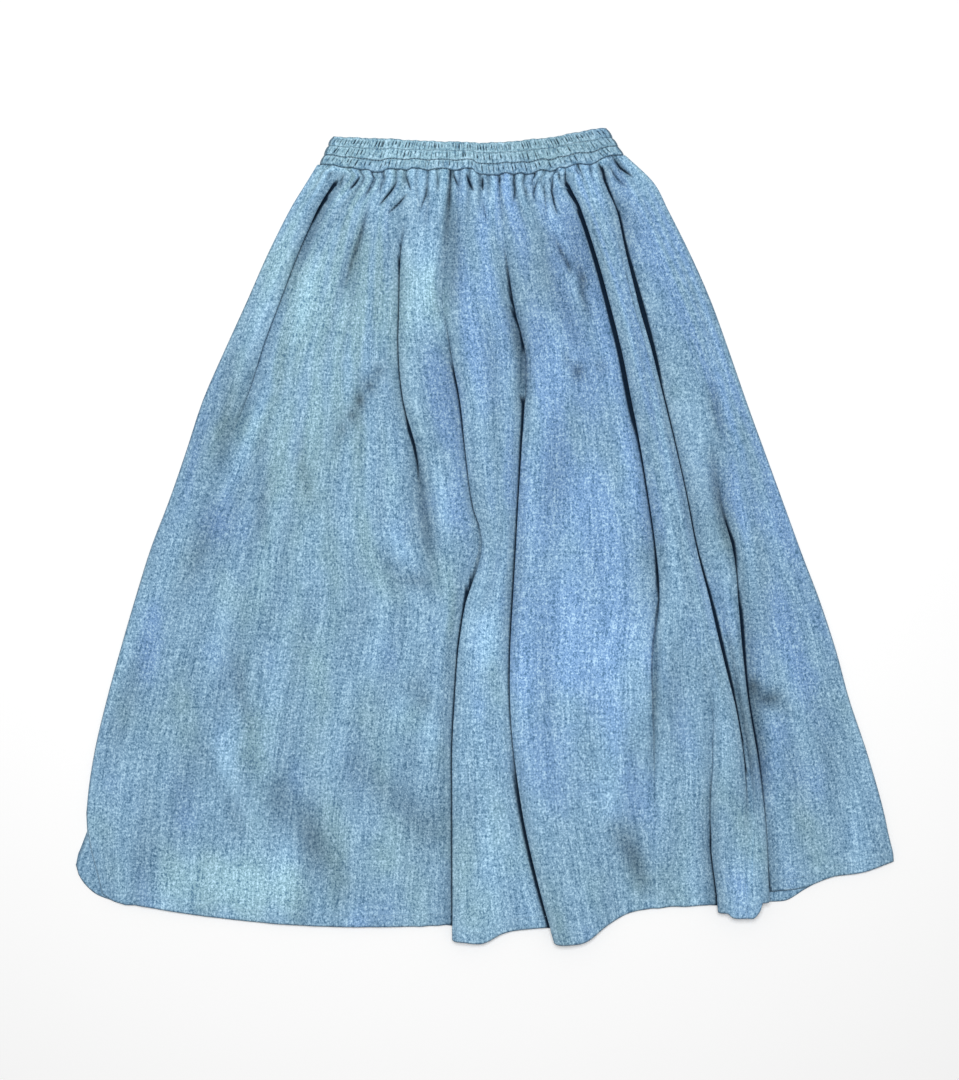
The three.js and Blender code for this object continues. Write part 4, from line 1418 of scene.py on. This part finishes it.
    def outside(self) -> tuple[np.ndarray, np.ndarray, np.ndarray, np.ndarray]:
        """Set out the band's outer face.

        Returns:
            The ring's stations, each row's share of the way up, the thickness by row and station, and
            the depth of the valley between puckers there.
        """
        ring = self.ring()
        width = self.bottom_right - self.bottom_left
        along = ring[:, 0] * width
        front = ring[:, 3] >= 0.0
        thickness, valleys, heights = [], [], []
        for channel in range(self.channels):
            steps = self.rows_per_channel + (1 if channel == self.channels - 1 else 0)
            up = np.arange(steps) / self.rows_per_channel
            bulge = np.sin(math.pi * up) ** self.roundness
            cut_front = self.puckers(channel, 1, along, up)
            cut_back = self.puckers(channel, -1, along, up)
            cut = np.where(front[None, :], cut_front, cut_back)
            waves = Waves(Draw.BAND_SWELL + channel, self.channel_swell_length, self.waves)
            up_channel = self.channel_swell_pace * up[:, None]
            swell = 1.0 + self.channel_swell * waves.at(along[None, :], up_channel)
            puff = self.puff[channel] * bulge[:, None] * swell * (1.0 - cut)
            thickness.append(self.wall - self.pinch + puff)
            valleys.append(cut * bulge[:, None])
            heights.append(mix(self.row_places[channel], self.row_places[channel + 1], up))
        return ring, np.concatenate(heights), np.concatenate(thickness), np.concatenate(valleys)

    def build(self) -> bpy.types.Object:
        """Make the ring as one closed mesh.

        Returns:
            The object, with a layer for each look at its points.
        """
        ring, heights, thickness, valleys = self.outside()
        rows = [self.point(ring, height, deep) for height, deep in zip(heights, thickness)]
        pinched = self.wall - self.pinch
        caps = np.linspace(0.0, math.pi, self.cap_rows + 2)[1:-1]
        top = [self.cap(ring, 1.0, pinched, angle) for angle in caps]
        inner = [self.point(ring, height, 0.0) for height in np.linspace(1.0, 0.0, self.inner_rows)]
        bottom = [self.cap(ring, 0.0, pinched, angle) for angle in caps[::-1]]
        loops = np.stack([*rows, *top, *inner, *bottom])
        count, stations = loops.shape[:2]
        index = np.arange(count * stations).reshape(count, stations)
        above, beside = np.roll(index, -1, axis=0), np.roll(index, -1, axis=1)
        corner = np.roll(above, -1, axis=1)
        faces = np.stack([index, beside, corner, above], axis=-1).reshape(-1, 4)
        x, y = loops[..., 0], loops[..., 1]
        # Painted shade in the pucker valleys, along the waist seam and the stitch rows, and round the top
        # edge and the ends
        hollow = np.zeros((count, stations))
        hollow[: len(rows)] = self.pucker_dark * valleys
        for channel, depth in enumerate(self.row_shades):
            hollow[channel * self.rows_per_channel] = depth
        hollow[len(rows) : len(rows) + len(top)] = self.edge_dark
        hollow[: len(rows), ring[:, 3] == 0.0] = self.edge_dark
        # The puffs' tops are paler, partly from use and partly as a painted highlight
        worn = np.zeros((count, stations))
        worn[: len(rows)] = np.clip((thickness - self.wall) / self.worn_puff, 0.0, 1.0) * (1.0 - valleys)
        tone, shade = wash_and_light_patches(x, y, np.zeros(x.shape))
        points = loops.reshape(-1, 3)
        layers = {
            "tone": tone.ravel(), "shade": shade.ravel(), "hollow": hollow.ravel(),
            "worn": self.wear_and_highlight_share * worn.ravel(), "grain": points * MM,
        }
        return make_object("waistband_cloth", points, faces, layers)

    def cap(self, ring: np.ndarray, height: float, thickness: float, angle: float) -> np.ndarray:
        """Set out one row of the rounded edge that turns from the outer face to the inner one.

        Args:
            ring: the ring's stations.
            height: 1 for the top edge and 0 for the bottom one.
            thickness: how far out the edge's outer end is.
            angle: how far round the edge the row is.

        Returns:
            The row's points.
        """
        deep = thickness * (0.5 + 0.5 * math.cos(angle))
        points = self.point(ring, height, deep)
        points[..., 1] += (self.edge_round if height > 0.5 else 0.0) * math.sin(angle)
        return points

    def stitch_line(self, row: int, side: int) -> np.ndarray:
        """Set out the line that a row of stitching follows.

        Args:
            row: the row's number, with the waist seam as 0.
            side: 1 for the band's front and -1 for its back.

        Returns:
            The line's points.
        """
        share = np.linspace(*self.stitch_ends, self.stitch_points)
        station = np.stack([share, 0.0 * share, side + 0.0 * share], axis=-1)
        return self.point(station, self.row_places[row], self.wall - self.stitch_sink)


@dataclass
class Stitching:
    """A row of lockstitches, each a short rounded length of thread laid along a line."""

    length: float = 2.5
    pitch: float = 3.3
    radius: float = 0.24
    sides: int = 6
    inside_hem: float = 2.0
    front_rise: float = 0.05
    back_rise: float = -0.2
    ends: Path2D = ((-0.5, 0.35), (-0.42, 0.8), (0.0, 1.0), (0.42, 0.8), (0.5, 0.35))

    def along(self, line: np.ndarray, side: int) -> tuple[np.ndarray, np.ndarray]:
        """Set stitches along a line.

        Args:
            line: the points that the row follows.
            side: 1 where the cloth's face looks up, and -1 where it looks down.

        Returns:
            The points and the faces of the row's stitches.
        """
        steps = np.linalg.norm(np.diff(line, axis=0), axis=1)
        travelled = np.concatenate([[0.0], np.cumsum(steps)])
        centres = np.arange(self.pitch, travelled[-1] - self.pitch, self.pitch)
        back, centre, front = (
            np.stack([np.interp(centres + shift, travelled, line[:, axis]) for axis in range(3)], axis=-1)
            for shift in (-self.length / 2, 0.0, self.length / 2)
        )
        along = front - back
        along /= np.linalg.norm(along, axis=1, keepdims=True)
        aside = np.cross(along, (0.0, 0.0, 1.0))
        aside /= np.linalg.norm(aside, axis=1, keepdims=True)
        up = np.cross(aside, along)
        rings = []
        for share, swell in self.ends:
            for angle in np.arange(self.sides) * 2.0 * math.pi / self.sides:
                out = self.radius * swell
                sink = -side * self.radius * (2.0 * share) ** 2
                rings.append(
                    centre + along * share * self.length
                    + aside * out * math.cos(angle) + up * (out * math.sin(angle) + sink)
                )
        points = np.stack(rings, axis=1)
        faces = self.template()
        offset = np.arange(len(centres)) * points.shape[1]
        return points.reshape(-1, 3), (faces[None] + offset[:, None, None]).reshape(-1, 4)

    def template(self) -> np.ndarray:
        """Set out one stitch's faces.

        Returns:
            The points of each face, with the two ends closed by quads across their rings.
        """
        index = np.arange(len(self.ends) * self.sides).reshape(len(self.ends), self.sides)
        beside = np.roll(index, -1, axis=1)
        walls = np.stack([index[:-1], index[1:], beside[1:], beside[:-1]], axis=-1).reshape(-1, 4)
        first, last = index[0], index[-1]
        ends = [(first[0], first[1], first[2], first[3]), (first[0], first[3], first[4], first[5]),
                (last[3], last[2], last[1], last[0]), (last[5], last[4], last[3], last[0])]
        return np.concatenate([walls, np.array(ends)])

    def build(self, name: str, lines: list[tuple[np.ndarray, int]]) -> bpy.types.Object:
        """Make one joined mesh of the stitches along several lines.

        Args:
            name: the object's name.
            lines: the points of each line, with the side of the cloth that it is on.

        Returns:
            The object.
        """
        points, faces, passed = [], [], 0
        for line, side in lines:
            row_points, row_faces = self.along(line, side)
            points.append(row_points)
            faces.append(row_faces + passed)
            passed += len(row_points)
        return make_object(name, np.concatenate(points), np.concatenate(faces), {})


class Value:
    """A shader value that takes part in Python arithmetic by adding Math nodes."""

    def __init__(self, shader: "Shader", output: bpy.types.NodeSocket) -> None:
        """Wrap a node's output."""
        self.shader = shader
        self.output = output

    def _math(self, operation: str, first: "Term", second: "Term" = 0.0) -> "Value":
        """Add a Math node on two terms."""
        return self.shader.node("ShaderNodeMath", {"operation": operation}, {0: first, 1: second})

    def __add__(self, other: "Term") -> "Value":
        """Return self + other."""
        return self._math("ADD", self, other)

    def __radd__(self, other: "Term") -> "Value":
        """Return other + self."""
        return self._math("ADD", other, self)

    def __sub__(self, other: "Term") -> "Value":
        """Return self - other."""
        return self._math("SUBTRACT", self, other)

    def __rsub__(self, other: "Term") -> "Value":
        """Return other - self."""
        return self._math("SUBTRACT", other, self)

    def __mul__(self, other: "Term") -> "Value":
        """Return self * other."""
        return self._math("MULTIPLY", self, other)

    def __rmul__(self, other: "Term") -> "Value":
        """Return other * self."""
        return self._math("MULTIPLY", other, self)

    def __neg__(self) -> "Value":
        """Return -self."""
        return self._math("MULTIPLY", self, -1.0)

    def between(self, low: float, high: float) -> "Value":
        """Return a smooth step from 0 to 1 while the value goes from low to high."""
        return self.shader.node(
            "ShaderNodeMapRange", {"interpolation_type": "SMOOTHSTEP"},
            {"Value": self, "From Min": low, "From Max": high},
        )


Term = Union[Value, float]


class Shader:
    """A material's node tree, to which nodes are added by their type."""

    def __init__(self, name: str) -> None:
        """Make a material with an empty tree."""
        self.material = bpy.data.materials.new(name)
        self.material.use_nodes = True
        self.tree = self.material.node_tree
        self.tree.nodes.clear()

    def node(
        self, kind: str, settings: dict, values: dict, output: Union[int, str] = 0,
    ) -> Union[Value, None]:
        """Add a node.

        Args:
            kind: the node's type.
            settings: its settings, set before its sockets.
            values: a value or a link for each named or numbered socket.
            output: which of its outputs to return.

        Returns:
            That output, or nothing where the node has none.
        """
        node = self.tree.nodes.new(kind)
        for name, setting in settings.items():
            setattr(node, name, setting)
        for name, value in values.items():
            if isinstance(value, Value):
                self.tree.links.new(value.output, node.inputs[name])
            else:
                node.inputs[name].default_value = value
        return Value(self, node.outputs[output]) if node.outputs else None

    def finish(self, sockets: dict) -> bpy.types.Material:
        """Add the surface's own shader with its sockets, and return the finished material."""
        surface = self.node("ShaderNodeBsdfPrincipled", {}, sockets)
        self.node("ShaderNodeOutputMaterial", {}, {"Surface": surface})
        return self.material

    def blend(self, share: Term, first: Union[Value, tuple], second: Union[Value, tuple]) -> Value:
        """Mix two colours by a share."""
        settings = {"data_type": "RGBA", "blend_type": "MIX"}
        return self.node("ShaderNodeMix", settings, {0: share, 6: first, 7: second}, 2)

    def layer(self, name: str, output: str = "Fac") -> Value:
        """Read one of the mesh's own layers."""
        return self.node("ShaderNodeAttribute", {"attribute_name": name}, {}, output)

    def stretched(self, place: Value, scale: tuple[float, float, float]) -> Value:
        """Return a place scaled by an amount along each axis."""
        return self.node("ShaderNodeVectorMath", {"operation": "MULTIPLY"}, {0: place, 1: scale})

    def scaled(self, colour: Value, amount: Value) -> Value:
        """Return a colour made lighter or darker by an amount."""
        return self.node("ShaderNodeVectorMath", {"operation": "SCALE"}, {0: colour, "Scale": amount})

    def noise(self, place: Value, detail: float = 2.0, roughness: float = 0.55) -> Value:
        """Return a noise of about one unit's size at a place."""
        values = {"Vector": place, "Scale": 1.0, "Detail": detail, "Roughness": roughness}
        return self.node("ShaderNodeTexNoise", {}, values)


def linear(colour: Colour) -> tuple[float, float, float, float]:
    """Return a colour of 0 to 255 as the linear colour that a shader takes."""
    parts = [part / 255.0 for part in colour]
    return (*(p / 12.92 if p <= 0.04045 else ((p + 0.055) / 1.055) ** 2.4 for p in parts), 1.0)


@dataclass(frozen=True)
class Denim:
    """Stonewashed light blue denim: speckled, with slubs along its warp and a soft nap."""

    name: str
    plain: Colour = (127, 164, 192)
    blue: Colour = (121, 159, 203)
    green: Colour = (134, 170, 184)
    pale: Colour = (186, 221, 242)
    deep: Colour = (60, 101, 132)
    # The near-black that the painted shade in gaps, slits, seams and edges goes to
    dark: Colour = (0, 20, 40)
    wear_and_highlight_share: float = 0.22
    speckle: Scale = (380.0, 300.0, 380.0)
    fleck: Scale = (620.0, 480.0, 620.0)
    slub: Scale = (420.0, 26.0, 420.0)
    weft: Scale = (30.0, 430.0, 30.0)
    streak: Scale = (120.0, 6.0, 120.0)
    mottle: Scale = (26.0, 18.0, 26.0)
    nap: Scale = (1500.0, 1100.0, 1500.0)
    mottling: float = 1.5
    full_wash: float = 1.1
    slub_light: float = 0.24
    weft_light: float = 0.11
    streak_light: float = 0.12
    flecking: float = 0.85

    def make(self) -> bpy.types.Material:
        """Make the material.

        Returns:
            The material.
        """
        shader = Shader(self.name)
        place = shader.node("ShaderNodeTexCoord", {}, {}, "Object")
        grain = shader.layer("grain", "Vector")
        tone, hollow, worn = shader.layer("tone"), shader.layer("hollow"), shader.layer("worn")
        speckle = shader.noise(shader.stretched(place, self.speckle), 3.0, 0.65)
        fleck = shader.noise(shader.stretched(place, self.fleck), 2.0, 0.7)
        slub = shader.noise(shader.stretched(grain, self.slub), 2.0, 0.6)
        weft = shader.noise(shader.stretched(place, self.weft), 2.0, 0.6)
        streak = shader.noise(shader.stretched(grain, self.streak), 2.0, 0.5)
        mottle = shader.noise(shader.stretched(place, self.mottle), 2.0, 0.5)

        wash = tone + (mottle - 0.5) * self.mottling
        colour = shader.blend(wash.between(0.0, self.full_wash), linear(self.plain), linear(self.blue))
        colour = shader.blend((-wash).between(0.0, self.full_wash), colour, linear(self.green))
        yarns = (slub - 0.5) * self.slub_light + (weft - 0.5) * self.weft_light
        yarns = yarns + (streak - 0.5) * self.streak_light
        light = speckle * 0.45 + fleck * 0.55 + yarns
        colour = shader.blend(light.between(0.5, 0.64) * self.flecking, colour, linear(self.pale))
        colour = shader.blend(light.between(0.5, 0.37) * self.flecking, colour, linear(self.deep))
        # Paler with use along hems, stitches and edges, and a painted highlight on ridges and the band's
        # puffs
        colour = shader.blend(worn * self.wear_and_highlight_share, colour, linear(self.pale))
        # The shade layer: painted light and shade, with some of the patches' wash
        colour = shader.scaled(colour, shader.layer("shade") + 1.0)
        # Painted shade, near black, in the gaps by the folds, the slits, the seams and the edges
        colour = shader.blend(hollow.between(0.1, 0.8) * 0.98, colour, linear(self.dark))

        nap = shader.noise(shader.stretched(place, self.nap), 2.0, 0.6)
        twill = shader.node(
            "ShaderNodeTexWave", {"wave_type": "BANDS", "bands_direction": "DIAGONAL"},
            {"Vector": place, "Scale": 260.0, "Distortion": 3.0, "Detail": 2.0, "Detail Scale": 2.0},
        )
        height = speckle * 0.5 + nap * 0.3 + twill * 0.12 + slub * 0.3
        bump = shader.node("ShaderNodeBump", {}, {"Strength": 0.5, "Distance": 0.0006, "Height": height})
        return shader.finish({
            "Base Color": colour,
            "Roughness": 0.96 - light * 0.12,
            "Specular IOR Level": 0.08,
            "Sheen Weight": 0.05,
            "Sheen Roughness": 0.6,
            "Sheen Tint": (0.85, 0.92, 1.0, 1.0),
            "Normal": bump,
        })


@dataclass(frozen=True)
class Thread:
    """Matt sewing thread in the colour of the cloth."""

    name: str = "sewing_thread"
    colour: Colour = (116, 152, 178)
    pale: Colour = (164, 192, 208)

    def make(self) -> bpy.types.Material:
        """Make the material."""
        shader = Shader(self.name)
        place = shader.node("ShaderNodeTexCoord", {}, {}, "Object")
        fade = shader.noise(shader.stretched(place, (220.0, 220.0, 220.0)), 2.0)
        ply = shader.node(
            "ShaderNodeTexWave", {"wave_type": "BANDS", "bands_direction": "DIAGONAL"},
            {"Vector": place, "Scale": 900.0, "Distortion": 0.5},
        )
        colour = shader.blend(fade.between(0.4, 0.7), linear(self.colour), linear(self.pale))
        bump = shader.node("ShaderNodeBump", {}, {"Strength": 0.4, "Distance": 0.0001, "Height": ply})
        return shader.finish({"Base Color": colour, "Roughness": 0.8, "Sheen Weight": 0.2, "Normal": bump})


@dataclass(frozen=True)
class PaleFloor:
    """A plain matt floor, almost white."""

    name: str = "pale_floor"
    colour: Colour = (253, 253, 253)

    def make(self) -> bpy.types.Material:
        """Make the material."""
        shader = Shader(self.name)
        return shader.finish({
            "Base Color": linear(self.colour), "Roughness": 0.9, "Specular IOR Level": 0.1,
        })


@dataclass
class Studio:
    """The floor, the soft light and the camera, which looks straight down."""

    floor_half: float = 4.0
    camera_x: float = -0.0044
    camera_y: float = -0.00385
    mm_per_pixel: float = 1.1
    image_height: int = 1080
    lens: float = 50.0
    sensor: float = 36.0
    cloth_level: float = 0.006
    sky: float = 0.4
    key_power: float = 42.0
    key_size: float = 1.1
    key_place: tuple[float, float, float] = (-0.1, 0.45, 2.35)

    def build(self) -> None:
        """Put up the floor, the sky, the key light and the camera."""
        self.lay_floor()
        scene = bpy.context.scene
        scene.view_settings.view_transform = "Standard"
        world = bpy.data.worlds.new("soft_sky")
        world.use_nodes = True
        background = world.node_tree.nodes["Background"]
        background.inputs["Color"].default_value = (1.0, 1.0, 1.0, 1.0)
        background.inputs["Strength"].default_value = self.sky
        scene.world = world
        self.hang_light()
        self.set_camera()

    def lay_floor(self) -> None:
        """Lay the floor under the skirt."""
        half = self.floor_half / MM
        corners = half * np.array([(-1.0, -1.0, 0.0), (1.0, -1.0, 0.0), (1.0, 1.0, 0.0), (-1.0, 1.0, 0.0)])
        floor = make_object("floor", corners, np.array([(0, 1, 2, 3)]), {})
        floor.data.materials.append(PaleFloor().make())

    def hang_light(self) -> None:
        """Hang the large soft key light, turned to the skirt."""
        light = bpy.data.lights.new("key", "AREA")
        light.shape = "DISK"
        light.size = self.key_size
        light.energy = self.key_power
        lamp = bpy.data.objects.new("key", light)
        lamp.location = self.key_place
        x, y, z = self.key_place
        lamp.rotation_euler = (math.atan2(math.hypot(x, y), z), 0.0, math.atan2(-y, -x) - math.pi / 2.0)
        bpy.context.scene.collection.objects.link(lamp)

    def set_camera(self) -> None:
        """Set the camera over the skirt, so high that a pixel is as many millimetres as in the photo."""
        data = bpy.data.cameras.new("camera")
        data.lens = self.lens
        data.sensor_width = self.sensor
        camera = bpy.data.objects.new("camera", data)
        height = self.mm_per_pixel * self.image_height * self.lens / self.sensor * MM
        camera.location = (self.camera_x, self.camera_y, self.cloth_level + height)
        bpy.context.scene.collection.objects.link(camera)
        bpy.context.scene.camera = camera


def fit(piece: bpy.types.Object, finish: bpy.types.Material, node: str = "") -> None:
    """Give a piece its body, its finish and the node that it stands for.

    Args:
        piece: the piece.
        finish: the material.
        node: the node that it replaces, if any.
    """
    piece.data.materials.append(finish)
    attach(piece, BODY)
    if node:
        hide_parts(node)
    log.info("%s: %d points, %d faces", piece.name, len(piece.data.vertices), len(piece.data.polygons))


def row_at(grid: Grid, below: float, side: int, rise: float) -> tuple[np.ndarray, int]:
    """Find the row of points that a seam in a panel follows.

    Args:
        grid: the panel's grid.
        below: how far below the waist seam the row is.
        side: 1 for the panel's upper face and -1 for its lower face.
        rise: how far out of that face the middle of the thread is.

    Returns:
        The points, and the side.
    """
    row = int(np.argmin(np.abs(grid["below"] - below)))
    line = grid["middle"][row].copy()
    line[:, 2] += side * (grid["wall"][row] / 2.0 + rise)
    return line, side


def main() -> None:
    """Build the skirt and its studio, and give every piece its finish and its body."""
    logging.basicConfig(level=logging.INFO, format="%(message)s")
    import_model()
    Studio().build()

    denim, band_denim, thread = Denim("panel_denim").make(), Denim("band_denim").make(), Thread().make()

    front_panel = FrontPanel()
    front_grid = front_panel.grid()
    front = front_panel.build("skirt_front_cloth", front_grid)
    fit(front, denim, "skirt_front")

    back_panel = BackPanel()
    back_grid = back_panel.grid()
    back = back_panel.build("skirt_back_cloth", back_grid)
    fit(back, denim, "skirt_back")

    band = Waistband()
    waistband = band.build()
    fit(waistband, band_denim, "waistband")

    stitching = Stitching()
    band_lines = [(band.stitch_line(row, side), side) for row in (1, 2) for side in (1, -1)]
    fit(stitching.build("waistband_stitches", band_lines), thread)
    stitched = front_panel.length - front_panel.hem_depth + stitching.inside_hem
    hem_lines = [
        row_at(front_grid, stitched, 1, stitching.front_rise),
        row_at(back_grid, stitched, -1, stitching.back_rise),
    ]
    fit(stitching.build("hem_stitches", hem_lines), thread)


if __name__ == "__main__":
    main()
